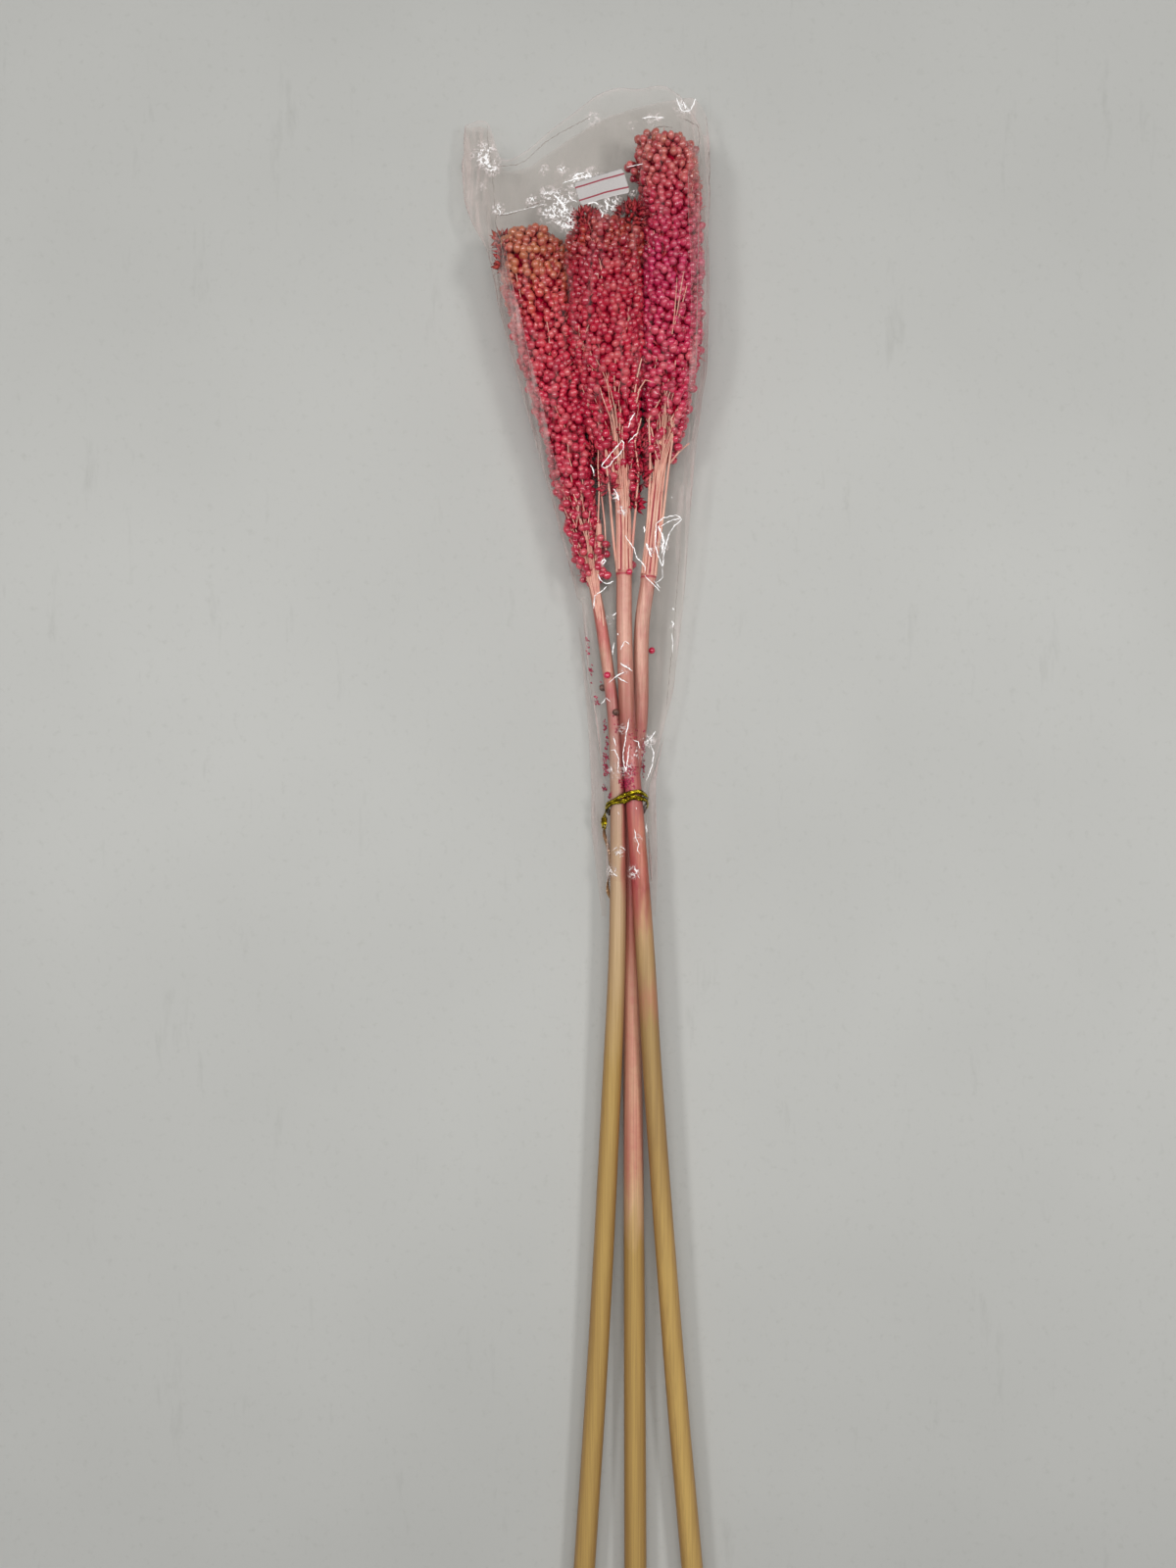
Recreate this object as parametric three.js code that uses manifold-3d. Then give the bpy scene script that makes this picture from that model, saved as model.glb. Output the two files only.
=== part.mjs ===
// A tied bunch of three dyed and preserved sorghum stems, lying down in a clear flower sleeve.
// Millimetres, +Z up. The bunch rests on z = 0 and +Y runs along the stems to the seed heads.
// Everything is drawn with y = 0 at the twist tie, then moved so that the origin is the middle of the base.
import * as THREE from "three";
import { mergeVertices } from "three/addons/utils/BufferGeometryUtils.js";
import Module from "manifold-3d";

const wasm = await Module();
wasm.setup();

// The middle of the bunch's outline on the surface, seen from the tie.
const MIDDLE = { x: 1.0, y: -51.9 };

// Clear film: its wall, and the room it leaves round the stems and heads.
const FILM = { wall: 0.6, room: 0.6, headRoom: 0.9, bridge: 8, sides: 28, cornerLength: 8 };
const FLOOR_CLEARANCE = FILM.wall + 0.35;
const SEAT_GAP = 0.3;
const PRESSED_GAP = 0.4;

// Each stem runs from its cut end, through the tie, to the tip of its seed head: [y, x, z, radius].
const STEMS = {
  left: {
    route: [
      [-422.6, -6.6, 5.0, 5.0],
      [-260, 4.0, 7.0, 4.75],
      [-126, 10.7, 9.2, 4.3],
      [-64, 12.6, 10.2, 3.85],
      [0, 12.5, 10.7, 3.35],
      [36, 11.2, 10.9, 2.95],
      [60, 8.8, 11.6, 2.7],
      [82, 5.4, 12.6, 2.6],
      [118, -1.6, 13.6, 2.1],
      [145, -7.0, 14.4, 1.8],
      [196, -17.8, 15.2, 1.3],
      [226, -22.6, 15.4, 1.0],
      [258, -24.6, 15.4, 0.7],
    ],
    ring: 82,
    head: { base: 98, tip: 258, radius: 15.4, neck: 0.45, shoulder: 0.78, flare: 1.1, cap: 0.85 },
    turn: 0.4,
  },
  centre: {
    route: [
      [-422.6, 53.6, 5.0, 5.0],
      [-350, 47.4, 6.4, 4.9],
      [-260, 39.4, 8.6, 4.7],
      [-126, 29.2, 11.6, 4.3],
      [-64, 25.4, 12.9, 4.2],
      [0, 20.7, 13.6, 3.75],
      [36, 17.7, 14.2, 3.6],
      [78, 16.2, 14.6, 3.5],
      [101, 16.1, 14.8, 3.4],
      [138, 15.2, 15.4, 3.0],
      [182, 9.6, 16.6, 2.2],
      [226, 8.0, 17.2, 1.4],
      [258, 7.8, 17.4, 0.8],
    ],
    ring: 101,
    head: { base: 134, tip: 261, radius: 17.4, neck: 0.42, shoulder: 0.5, flare: 0.9, cap: 0.8 },
    turn: 1.9,
  },
  right: {
    route: [
      [-422.6, 21.8, 5.1, 5.1],
      [-260, 21.2, 5.4, 4.85],
      [-126, 20.4, 5.7, 4.3],
      [-64, 19.6, 5.8, 3.95],
      [-27, 19.2, 5.85, 3.75],
      [0, 18.8, 5.85, 3.55],
      [16, 20.9, 6.1, 3.5],
      [37, 23.6, 7.6, 3.5],
      [78, 24.2, 11.0, 3.45],
      [101, 27.2, 12.8, 3.4],
      [139, 30.9, 14.6, 3.0],
      [167, 34.4, 15.4, 2.4],
      [226, 36.6, 15.8, 1.7],
      [297, 36.6, 15.8, 0.7],
    ],
    ring: 100,
    head: { base: 148, tip: 298, radius: 13.9, neck: 0.55, shoulder: 0.34, flare: 0.8, cap: 0.88 },
    turn: 3.1,
  },
};
const RACHIS_SHARE = 0.62;
const RING = { height: 0.45, width: 1.6 };
const CUT_BEVEL = 0.4;

// Bare feet of the branches, which stand as ridges on the stem from its ring up into the head.
const STEM_SIDES = 12;
const BRANCH_FOOT = { height: 0.9, fade: 10 };

// Seeds are raised from the head in a honeycomb, larger than life, with their points towards the tip.
const SEED = { around: 27, rowStep: 3, depth: 2.2, lean: 0.9, stray: 0.8 };
const RAGGED_BASE = { reach: 3.5, fade: 14 };
const LUMP = { share: 0.09, around: 3, alongA: 9, alongB: 14 };
const LEAST_WALL = 0.6;

// The sleeve's welded sides: [y, x, z]. Its mouth is cut askew: [x, y].
const LEFT_WELD = [
  [-36, 10.1, 9.5],
  [-6, 10.4, 10.4],
  [4, 10.0, 10.4],
  [16, 7.7, 9.5],
  [34, 5.7, 8],
  [52, 2.2, 8],
  [96, -2.3, 9],
  [157, -16.5, 11],
  [200, -30.3, 12],
  [232, -40.4, 12],
  [248, -44.0, 12],
  [265, -51.5, 11],
  [286, -55.2, 9],
  [318, -54.6, 7],
];
const RIGHT_WELD = [
  [-36, 26.4, 10],
  [-6, 24.6, 11],
  [4, 24.8, 11],
  [16, 28.4, 9.5],
  [34, 33.2, 8.5],
  [52, 37.4, 8],
  [87, 41.4, 9],
  [140, 45.6, 12],
  [185, 49.6, 14],
  [223, 51.2, 14],
  [286, 53.6, 12],
  [318, 52.8, 8],
];
const WELD_RADIUS = 1.25;
const MOUTH_CUT = [
  [-56, 305.5],
  [-45, 304.5],
  [-39.5, 288],
  [-28, 288.5],
  [-16, 297],
  [-2, 307],
  [7, 312],
  [20, 315.8],
  [34, 318],
  [54, 318.7],
];
const MOUTH = { from: 240, to: 318, x: 4, radiusFrom: 14.5, radiusTo: 7.5 };
const SLEEVE_STATIONS = [
  -36, -20, -6, 4, 13, 23, 36, 56, 78, 98, 112, 126, 140, 154, 168,
  182, 196, 210, 226, 240, 252, 264, 276, 290, 304, 318,
];

// Gold twist tie: a wire in a foil ribbon, wound twice and twisted off at the left.
const TIE = { reach: [-6, 4], width: 2.1, thick: 0.7, pitch: 2.5, tilt: 0.36, middle: 15, sides: 32 };
const TIE_TWIST = {
  width: 2.1,
  thick: 1.1,
  turns: 2.5,
  steps: 20,
  points: [
    [6.5, -1.5, 10.7],
    [6.4, -6, 9.6],
    [6.1, -11, 8.0],
    [6.1, -16.5, 6.6],
  ],
};
const TIE_TAIL = {
  width: 1.3,
  thick: 0.7,
  turns: 0.5,
  steps: 14,
  points: [
    [6.1, -15.5, 6.8],
    [7.2, -22, 4.8],
    [8.4, -31, 3.2],
    [8.2, -40, 3.2],
    [7.6, -47, 4.0],
    [8.0, -53, 4.4],
  ],
};

// Blank price-gun label on the film near the mouth.
const LABEL = { length: 21.5, width: 12, thick: 0.6, x: 5.8, y: 267, turn: 0.24, gap: 0.5 };

// Smooth curve through rows of numbers, with the first number of each row as the place along it.
function smooth(rows, place) {
  const last = rows.length - 1;
  const at = THREE.MathUtils.clamp(place, rows[0][0], rows[last][0]);
  let i = 0;
  while (i < last - 1 && at > rows[i + 1][0]) i += 1;
  const [low, high] = [rows[i], rows[i + 1]];
  const [before, after] = [rows[Math.max(i - 1, 0)], rows[Math.min(i + 2, last)]];
  const span = high[0] - low[0];
  const u = (at - low[0]) / span;
  return low.slice(1).map((value, k) => {
    const startSlope = (high[k + 1] - before[k + 1]) / (high[0] - before[0]);
    const endSlope = (after[k + 1] - value) / (after[0] - low[0]);
    const rise = (2 * u ** 3 - 3 * u ** 2 + 1) * value + (3 * u ** 2 - 2 * u ** 3) * high[k + 1];
    return rise + span * ((u ** 3 - 2 * u ** 2 + u) * startSlope + (u ** 3 - u ** 2) * endSlope);
  });
}

function seededRandom(seed) {
  let state = seed;
  return () => {
    state = (state * 1664525 + 1013904223) % 4294967296;
    return state / 4294967296;
  };
}

// Closed tube from rings of points, each ring with as many points as the first.
function loft(rings) {
  const sides = rings[0].length;
  const points = rings.flat();
  const index = [];
  for (let r = 0; r + 1 < rings.length; r += 1) {
    for (let s = 0; s < sides; s += 1) {
      const [a, b] = [r * sides + s, r * sides + ((s + 1) % sides)];
      index.push(a, b, a + sides, b, b + sides, a + sides);
    }
  }
  for (const [r, flip] of [[0, true], [rings.length - 1, false]]) {
    const middle = rings[r].reduce((sum, p) => sum.add(p), new THREE.Vector3()).divideScalar(sides);
    const centre = points.push(middle) - 1;
    for (let s = 0; s < sides; s += 1) {
      const [a, b] = [r * sides + s, r * sides + ((s + 1) % sides)];
      index.push(...(flip ? [b, a, centre] : [a, b, centre]));
    }
  }
  return meshOf(points, index);
}

// Closed wall between an outer and an inner set of rings, open at both ends.
function wall(outer, inner) {
  const sides = outer[0].length;
  const rings = [...outer, ...inner.toReversed()];
  const index = [];
  rings.forEach((_, r) => {
    const next = (r + 1) % rings.length;
    for (let s = 0; s < sides; s += 1) {
      const t = (s + 1) % sides;
      const [a, b, c, d] = [r * sides + s, r * sides + t, next * sides + s, next * sides + t];
      index.push(a, b, c, b, d, c);
    }
  });
  return meshOf(rings.flat(), index);
}

function meshOf(points, index) {
  return new THREE.BufferGeometry().setFromPoints(points).setIndex(index);
}

function solidOf(geometry) {
  const bare = geometry.clone();
  bare.deleteAttribute("normal");
  bare.deleteAttribute("uv");
  const merged = mergeVertices(bare, 1e-4);
  return new wasm.Manifold(
    new wasm.Mesh({
      numProp: 3,
      vertProperties: merged.attributes.position.array,
      triVerts: new Uint32Array(merged.index.array),
    }),
  );
}

function geometryOf(solid) {
  const { vertProperties, triVerts, numProp } = solid.getMesh();
  const geometry = new THREE.BufferGeometry();
  geometry.setAttribute("position", new THREE.BufferAttribute(vertProperties, numProp));
  geometry.setIndex(new THREE.BufferAttribute(triVerts, 1));
  geometry.computeVertexNormals();
  return geometry;
}

function joined(solids) {
  return solids.reduce((sum, solid) => sum.add(solid));
}

function stemAt(stem, y) {
  const [x, z, radius] = smooth(stem.route, y);
  return { x, z, radius };
}

// A ring of points round (x, z) at one y. It turns from +X towards -Z, so that lofts along +Y face outwards.
function ring(centre, y, sides, radiusAt) {
  return Array.from({ length: sides }, (_, s) => {
    const angle = (-s / sides) * 2 * Math.PI;
    const radius = radiusAt(s);
    return new THREE.Vector3(centre.x + radius * Math.cos(angle), y, centre.z + radius * Math.sin(angle));
  });
}

// Rings at each point of the route and halfway between, with a few more for the cut end and the ring.
function stemStations(stem) {
  const places = stem.route.map(([y]) => y);
  const halfway = places.slice(1).map((y, k) => (y + places[k]) / 2);
  const [cut, end] = [places[0], rachisEnd(stem)];
  const clear = (y) => y < end - 4 && Math.abs(y - stem.ring) > 3 * RING.width;
  const plain = [...places, ...halfway].filter(clear);
  const swelling = [-2, -1, 0, 1, 2].map((step) => stem.ring + step * RING.width);
  return [cut + CUT_BEVEL, ...plain, ...swelling, end].sort((a, b) => a - b);
}

function rachisEnd(stem) {
  return THREE.MathUtils.lerp(stem.head.base, stem.head.tip, RACHIS_SHARE);
}

// Height of the ridges that the branch feet make on the stem.
function footHeight(stem, y) {
  const rise = THREE.MathUtils.smoothstep(y, stem.ring, stem.ring + BRANCH_FOOT.fade);
  const fall = THREE.MathUtils.smoothstep(y, stem.head.base + BRANCH_FOOT.fade, rachisEnd(stem));
  return BRANCH_FOOT.height * rise * (1 - fall);
}

// Peduncle: tapered, with a bevelled cut end, the ring where the head begins, and the rachis in the head.
function stemGeometry(stem, extra = 0) {
  const stations = stemStations(stem);
  return loft(
    stations.map((y) => {
      const at = stemAt(stem, y);
      const swell = RING.height * Math.exp(-(((y - stem.ring) / RING.width) ** 2));
      const bevel = y === stations[0] ? CUT_BEVEL : 0;
      const foot = footHeight(stem, y);
      const along = y === stations[stations.length - 1] ? y + extra : y;
      return ring(at, along, STEM_SIDES, (s) => at.radius + swell + extra - bevel + (s % 2) * foot);
    }),
  );
}

// Outline radius of a head at a share of its length, from base to tip.
function headRadius(head, share) {
  const swell = head.neck + (1 - head.neck) * Math.min(share / head.shoulder, 1) ** head.flare;
  const over = Math.max(0, (share - head.cap) / (1 - head.cap));
  return head.radius * swell * Math.sqrt(Math.max(0, 1 - over * over));
}

function headAt(stem, y) {
  const share = (y - stem.head.base) / (stem.head.tip - stem.head.base);
  const radius = share < 0 || share > 1 ? 0 : headRadius(stem.head, share);
  return { ...stemAt(stem, y), radius };
}

// Heads press on the surface and on each other, so a direction's radius stops short of those planes.
function pressedRadius(stem, y, angle, share) {
  const at = headAt(stem, y);
  const [along, up] = [Math.cos(angle), Math.sin(angle)];
  let radius = at.radius * share;
  if (up < 0) radius = Math.min(radius, (FLOOR_CLEARANCE - at.z) / up);
  for (const other of Object.values(STEMS)) {
    if (other === stem) continue;
    const next = headAt(other, y);
    const [dx, dz] = [next.x - at.x, next.z - at.z];
    const apart = Math.hypot(dx, dz);
    if (next.radius === 0 || apart > at.radius + next.radius + PRESSED_GAP) continue;
    const plane = (apart ** 2 + at.radius ** 2 - next.radius ** 2) / (2 * apart) - PRESSED_GAP / 2;
    const facing = (dx * along + dz * up) / apart;
    if (facing > 0) radius = Math.min(radius, plane / facing);
  }
  return Math.max(radius, 0);
}

// Shallow lumps where the branches of a head bunch together.
function lumps(stem, y, angle) {
  const spiral = Math.sin(LUMP.around * angle + y / LUMP.alongA + stem.turn);
  return 1 - LUMP.share * (0.5 + 0.5 * spiral * Math.sin(y / LUMP.alongB + stem.turn));
}

// Shares of a head's length with even steps along its outline.
function rowShares(head) {
  const fine = 600;
  const length = head.tip - head.base;
  const along = [0];
  for (let k = 1; k <= fine; k += 1) {
    const rise = headRadius(head, k / fine) - headRadius(head, (k - 1) / fine);
    along.push(along[k - 1] + Math.hypot(length / fine, rise));
  }
  const rows = Math.floor(along[fine] / SEED.rowStep);
  return Array.from({ length: rows }, (_, r) => along.findIndex((at) => at >= r * SEED.rowStep) / fine);
}

// How far the lowest seeds of a head start up or down its stem.
function raggedStart(stem, y, angle) {
  const wave = Math.sin(2 * angle + stem.turn) + 0.7 * Math.sin(5 * angle + 2 * stem.turn);
  return RAGGED_BASE.reach * wave * (1 - THREE.MathUtils.smoothstep(y - stem.head.base, 0, RAGGED_BASE.fade));
}

// One third of the points are seed points, each with six hollows round it.
function headPoint(stem, share, angle, isSeed, stray) {
  const { base, tip } = stem.head;
  const even = THREE.MathUtils.lerp(base, tip, share);
  const lean = isSeed ? SEED.lean + SEED.stray * stray.along : -SEED.lean / 2;
  const y = Math.min(even + raggedStart(stem, even, angle) + lean * Math.min(share * 20, 1), tip);
  const turned = angle + (isSeed ? (SEED.stray * stray.around) / stem.head.radius : 0);
  const at = stemAt(stem, y);
  const least = share < RACHIS_SHARE ? at.radius + footHeight(stem, y) + SEAT_GAP + LEAST_WALL : LEAST_WALL;
  const within = THREE.MathUtils.clamp(y, base, tip - SEED.lean);
  const outline = pressedRadius(stem, within, turned, lumps(stem, y, angle));
  const radius = Math.max(outline - (isSeed ? SEED.stray * stray.inwards : SEED.depth), least);
  return new THREE.Vector3(at.x + radius * Math.cos(turned), y, at.z + radius * Math.sin(turned));
}

function headGeometry(stem, seed) {
  const random = seededRandom(seed);
  const shares = rowShares(stem.head);
  const rows = shares.map((share, row) =>
    Array.from({ length: SEED.around }, (_, s) => {
      const angle = (-(s + row / 2) / SEED.around) * 2 * Math.PI;
      const stray = { around: 2 * random() - 1, along: 2 * random() - 1, inwards: random() };
      return headPoint(stem, share, angle, (s + 2 * row) % 3 === 0, stray);
    }),
  );
  const tip = stemAt(stem, stem.head.tip);
  return loft([...rows, ring(tip, stem.head.tip + LEAST_WALL, SEED.around, () => LEAST_WALL)]);
}

function headSolid(stem, seed) {
  return solidOf(headGeometry(stem, seed)).subtract(solidOf(stemGeometry(stem, SEAT_GAP)));
}

// Film sections: the shortest line round every stem, head and weld at one y, like a sleeve drawn over them.
function wrappedCircles(y) {
  const circles = Object.values(STEMS).map((stem) => {
    const bare = stemAt(stem, y);
    const nearby = [y - FILM.bridge, y, y + FILM.bridge].map((place) => headAt(stem, place).radius);
    const head = Math.max(...nearby);
    const room = head > 0 ? FILM.headRoom : FILM.room + footHeight(stem, y);
    return { ...bare, radius: Math.max(head, bare.radius) + room + FILM.wall };
  });
  for (const weld of [LEFT_WELD, RIGHT_WELD]) {
    const [x, z] = smooth(weld, y);
    circles.push({ x, z, radius: WELD_RADIUS });
  }
  if (y > MOUTH.from) {
    const share = (y - MOUTH.from) / (MOUTH.to - MOUTH.from);
    const radius = THREE.MathUtils.lerp(MOUTH.radiusFrom, MOUTH.radiusTo, share);
    circles.push({ x: MOUTH.x, z: radius + 0.2, radius });
  }
  return circles;
}

// Points round the wrap, on its outside and inset from it. It is pressed flat where it meets the surface.
function wrapOutline(circles, inset) {
  const fine = 240;
  return Array.from({ length: fine }, (_, k) => {
    const angle = Math.PI - (k / fine) * 2 * Math.PI;
    const [along, up] = [Math.cos(angle), Math.sin(angle)];
    const reach = ({ x, z, radius }) => x * along + z * up + radius;
    const { x, z, radius } = circles.reduce((best, next) => (reach(next) > reach(best) ? next : best));
    return [0, inset].map((depth) => {
      const height = z + (radius - depth) * up;
      return new THREE.Vector2(x + (radius - depth) * along, Math.max(height, depth));
    });
  });
}

// Fewer points along one half of the wrap, spaced by its length and by how far it turns.
function spacedHalf(outline, sides) {
  const turn = (FILM.cornerLength * Math.PI) / outline.length;
  const lengths = [0];
  for (let k = 1; k < outline.length; k += 1) {
    lengths.push(lengths[k - 1] + outline[k][0].distanceTo(outline[k - 1][0]) + turn);
  }
  return Array.from({ length: sides }, (_, s) => {
    const wanted = (s / sides) * lengths[lengths.length - 1];
    const k = Math.max(lengths.findIndex((length) => length >= wanted), 1);
    const share = (wanted - lengths[k - 1]) / (lengths[k] - lengths[k - 1]);
    return [0, 1].map((side) => outline[k - 1][side].clone().lerp(outline[k][side], share));
  });
}

// The top half runs from the left weld to the right one, and the bottom half back.
function spaced(outline, sides) {
  const middle = outline.length / 2;
  const halves = [outline.slice(0, middle + 1), [...outline.slice(middle), outline[0]]];
  return halves.flatMap((half) => spacedHalf(half, sides / 2));
}

function sleeveRings(y) {
  const reach = Math.max(0, (y - MOUTH.from) / (MOUTH.to - MOUTH.from));
  const outline = spaced(wrapOutline(wrappedCircles(y), FILM.wall), FILM.sides);
  return [0, 1].map((side) =>
    outline.map((pair) => {
      const [cut] = smooth(MOUTH_CUT, pair[0].x);
      return new THREE.Vector3(pair[side].x, y + reach * (cut - MOUTH.to), pair[side].y);
    }),
  );
}

function sleeveGeometry() {
  const rings = SLEEVE_STATIONS.map(sleeveRings);
  return wall(rings.map((pair) => pair[0]), rings.map((pair) => pair[1]));
}

// One turn of the foil ribbon round the sleeve, lower at the back than at the front.
function tieLoop(shift) {
  const film = TIE.reach.flatMap(wrappedCircles);
  const circles = film.map((circle) => ({ ...circle, radius: circle.radius + SEAT_GAP + TIE.thick }));
  const outline = spaced(wrapOutline(circles, TIE.thick), TIE.sides);
  const rings = (side) =>
    [-TIE.width / 2, TIE.width / 2].map((across) =>
      outline.map((pair) => {
        const { x, y: z } = pair[side];
        return new THREE.Vector3(x, across + shift + TIE.tilt * (z - TIE.middle), z);
      }),
    );
  return solidOf(wall(rings(0), rings(1)));
}

// A flat ribbon along a line, turned about it by twist.
function ribbon({ points, width, thick, turns, steps }) {
  const curve = new THREE.CatmullRomCurve3(points.map((p) => new THREE.Vector3(...p)));
  const strip = new THREE.BoxGeometry(width, thick, 1, 1, 1, steps);
  const place = strip.attributes.position;
  for (let k = 0; k < place.count; k += 1) {
    const share = place.getZ(k) + 0.5;
    const angle = share * turns * 2 * Math.PI;
    const ahead = curve.getTangent(share);
    const side = new THREE.Vector3(0, 0, 1).cross(ahead).normalize();
    const above = ahead.clone().cross(side);
    const [u, v] = [place.getX(k), place.getY(k)];
    const across = side.multiplyScalar(u * Math.cos(angle) - v * Math.sin(angle));
    const over = u * Math.sin(angle) + v * Math.cos(angle);
    const point = curve.getPoint(share).add(across).addScaledVector(above, over);
    place.setXYZ(k, point.x, point.y, point.z);
  }
  return strip;
}

function twistTieSolid() {
  const loops = [tieLoop(TIE.pitch / 2), tieLoop(-TIE.pitch / 2)];
  return joined([...loops, solidOf(ribbon(TIE_TWIST)), solidOf(ribbon(TIE_TAIL))]);
}

// The label lies on whatever part of the film is under it.
function labelGeometry(film) {
  const plate = new THREE.BoxGeometry(LABEL.length, LABEL.width, 1, 6, 4, 1);
  const place = plate.attributes.position;
  const ray = new THREE.Raycaster();
  for (let k = 0; k < place.count; k += 1) {
    const [u, v] = [place.getX(k), place.getY(k)];
    const x = LABEL.x + u * Math.cos(LABEL.turn) - v * Math.sin(LABEL.turn);
    const y = LABEL.y + u * Math.sin(LABEL.turn) + v * Math.cos(LABEL.turn);
    ray.set(new THREE.Vector3(x, y, 100), new THREE.Vector3(0, 0, -1));
    const top = ray.intersectObject(film)[0].point.z;
    place.setXYZ(k, x, y, top + LABEL.gap + (place.getZ(k) > 0 ? LABEL.thick : 0));
  }
  return plate;
}

const MATERIALS = {
  stem: new THREE.MeshStandardMaterial({ color: 0xcfb277, roughness: 0.6, metalness: 0 }),
  head: new THREE.MeshStandardMaterial({ color: 0xc73a5c, roughness: 0.45, metalness: 0 }),
  film: new THREE.MeshStandardMaterial({
    color: 0xe8e8e6, roughness: 0.1, metalness: 0, transparent: true, opacity: 0.3,
  }),
  foil: new THREE.MeshStandardMaterial({ color: 0xd6b21c, roughness: 0.25, metalness: 1 }),
  paper: new THREE.MeshStandardMaterial({ color: 0xf2f0ec, roughness: 0.7, metalness: 0 }),
};

const bunch = new THREE.Group();
bunch.position.set(-MIDDLE.x, -MIDDLE.y, 0);

function addPiece(name, geometry, material) {
  const piece = new THREE.Mesh(geometry, material);
  piece.name = name;
  bunch.add(piece);
}

Object.entries(STEMS).forEach(([side, stem], number) => {
  addPiece("stem_" + side, stemGeometry(stem), MATERIALS.stem);
  addPiece("seed_head_" + side, geometryOf(headSolid(stem, 101 + number)), MATERIALS.head);
});
const film = sleeveGeometry();
addPiece("sleeve", film, MATERIALS.film);
addPiece("twist_tie", geometryOf(twistTieSolid()), MATERIALS.foil);
addPiece("price_label", labelGeometry(new THREE.Mesh(film)), MATERIALS.paper);

export default bunch;
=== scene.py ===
import random
from math import asin, atan2, cos, exp, hypot, pi, sin, sqrt

import bpy
import numpy as np
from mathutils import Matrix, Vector, noise
from mathutils.bvhtree import BVHTree


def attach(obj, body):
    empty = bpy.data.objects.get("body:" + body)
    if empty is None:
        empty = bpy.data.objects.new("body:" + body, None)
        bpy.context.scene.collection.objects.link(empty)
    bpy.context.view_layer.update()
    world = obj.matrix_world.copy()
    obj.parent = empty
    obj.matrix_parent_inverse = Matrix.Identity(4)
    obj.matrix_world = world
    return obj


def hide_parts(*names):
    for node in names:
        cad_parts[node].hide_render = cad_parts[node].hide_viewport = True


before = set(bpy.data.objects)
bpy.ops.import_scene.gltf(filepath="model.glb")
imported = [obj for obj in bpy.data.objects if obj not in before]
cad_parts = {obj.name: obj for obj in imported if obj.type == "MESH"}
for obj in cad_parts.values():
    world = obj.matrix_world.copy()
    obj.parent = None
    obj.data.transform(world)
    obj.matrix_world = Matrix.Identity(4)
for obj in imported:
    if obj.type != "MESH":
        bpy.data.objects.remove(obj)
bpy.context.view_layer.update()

bl_info = {
    "name": "Sorghum bunch in a clear sleeve",
    "version": (1, 0, 0),
    "blender": (4, 5, 0),
    "location": "3D View > Sidebar > Sorghum",
    "description": "Three dyed sorghum stems, tied in a clear flower sleeve",
    "category": "Add Mesh",
}

# Lengths are in millimetres with y = 0 at the tie, until a mesh is made in metres round the base's middle.
MM = 0.001
MIDDLE = Vector((1.0, -51.9, 0.0))
SIDES = ("left", "centre", "right")

# The camera looks straight down: the picture's size, and millimetres on the table for one dot of it.
PICTURE = (1200, 1600)
DOT = 0.45
EYE = Vector((0.0, 7.4, 541.0))

# Each stem from its cut end to the tip of its seed head: y, x, z, radius.
STEMS = {
    "left": {
        "route": [
            (-422.6, -6.6, 5, 5), (-260, 4, 7, 4.75), (-126, 10.8, 9.2, 4.3), (-64, 13.2, 10.2, 3.8),
            (0, 13.3, 10.7, 3.35), (36, 11.8, 10.9, 2.95), (60, 8.8, 11.6, 2.7), (82, 5.4, 12.6, 2.6),
            (118, -1.6, 13.6, 2.1), (145, -7, 14.4, 1.8), (196, -17.6, 15.2, 1.3), (226, -23.2, 15.6, 1),
            (258, -26.8, 15.6, 0.7),
        ],
        "ring": 97,
        "head": {"base": 99, "tip": 253.5, "radius": 16.2, "neck": 0.43, "shoulder": 0.85, "flare": 1.1,
                 "cap": 0.93},
        "turn": 0.4,
        "bare": {"until": 132, "half": 0.5},
        "stained": {"low": -30, "high": 30, "facing": -0.1},
    },
    "centre": {
        "route": [
            (-422.6, 53.6, 5, 5), (-350, 47.4, 6.4, 4.9), (-260, 39.4, 8.6, 4.7), (-126, 29.2, 11.6, 4.3),
            (-64, 25.4, 12.9, 4.2), (0, 20.7, 13.6, 3.75), (36, 17.7, 14.2, 3.6), (78, 16.2, 14.6, 3.5),
            (101, 16.1, 14.8, 3.4), (138, 15.2, 15.4, 3), (182, 9.6, 16.6, 2.2), (226, 7.2, 17.2, 1.4),
            (258, 7, 17.4, 0.8),
        ],
        "ring": 101,
        "head": {"base": 137, "tip": 256.5, "radius": 18.3, "neck": 0.36, "shoulder": 0.5, "flare": 0.9,
                 "cap": 0.91},
        "turn": 1.9,
        "bare": {"until": 186, "half": 0.85},
        "stained": {"low": -46, "high": 4, "facing": pi},
    },
    "right": {
        "route": [
            (-422.6, 21.8, 5.1, 5.1), (-260, 21.2, 5.4, 4.85), (-126, 20.4, 5.7, 4.3), (-64, 19.6, 5.8, 3.95),
            (-27, 19.2, 5.85, 3.75), (0, 18.8, 5.85, 3.55), (16, 20.9, 6.1, 3.5), (37, 23.6, 7.6, 3.5),
            (78, 24.2, 11, 3.45), (101, 27.2, 12.8, 3.4), (139, 30.9, 14.6, 3), (167, 34.4, 15.4, 2.4),
            (226, 37.2, 15.8, 1.7), (262, 36.6, 15.8, 1.2), (297, 34, 15.8, 0.7),
        ],
        "ring": 100,
        "head": {"base": 150, "tip": 294, "radius": 15, "neck": 0.5, "shoulder": 0.34, "flare": 0.8,
                 "cap": 0.94},
        "turn": 3.1,
        "bare": {"until": 178, "half": 0.95},
    },
}
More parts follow.
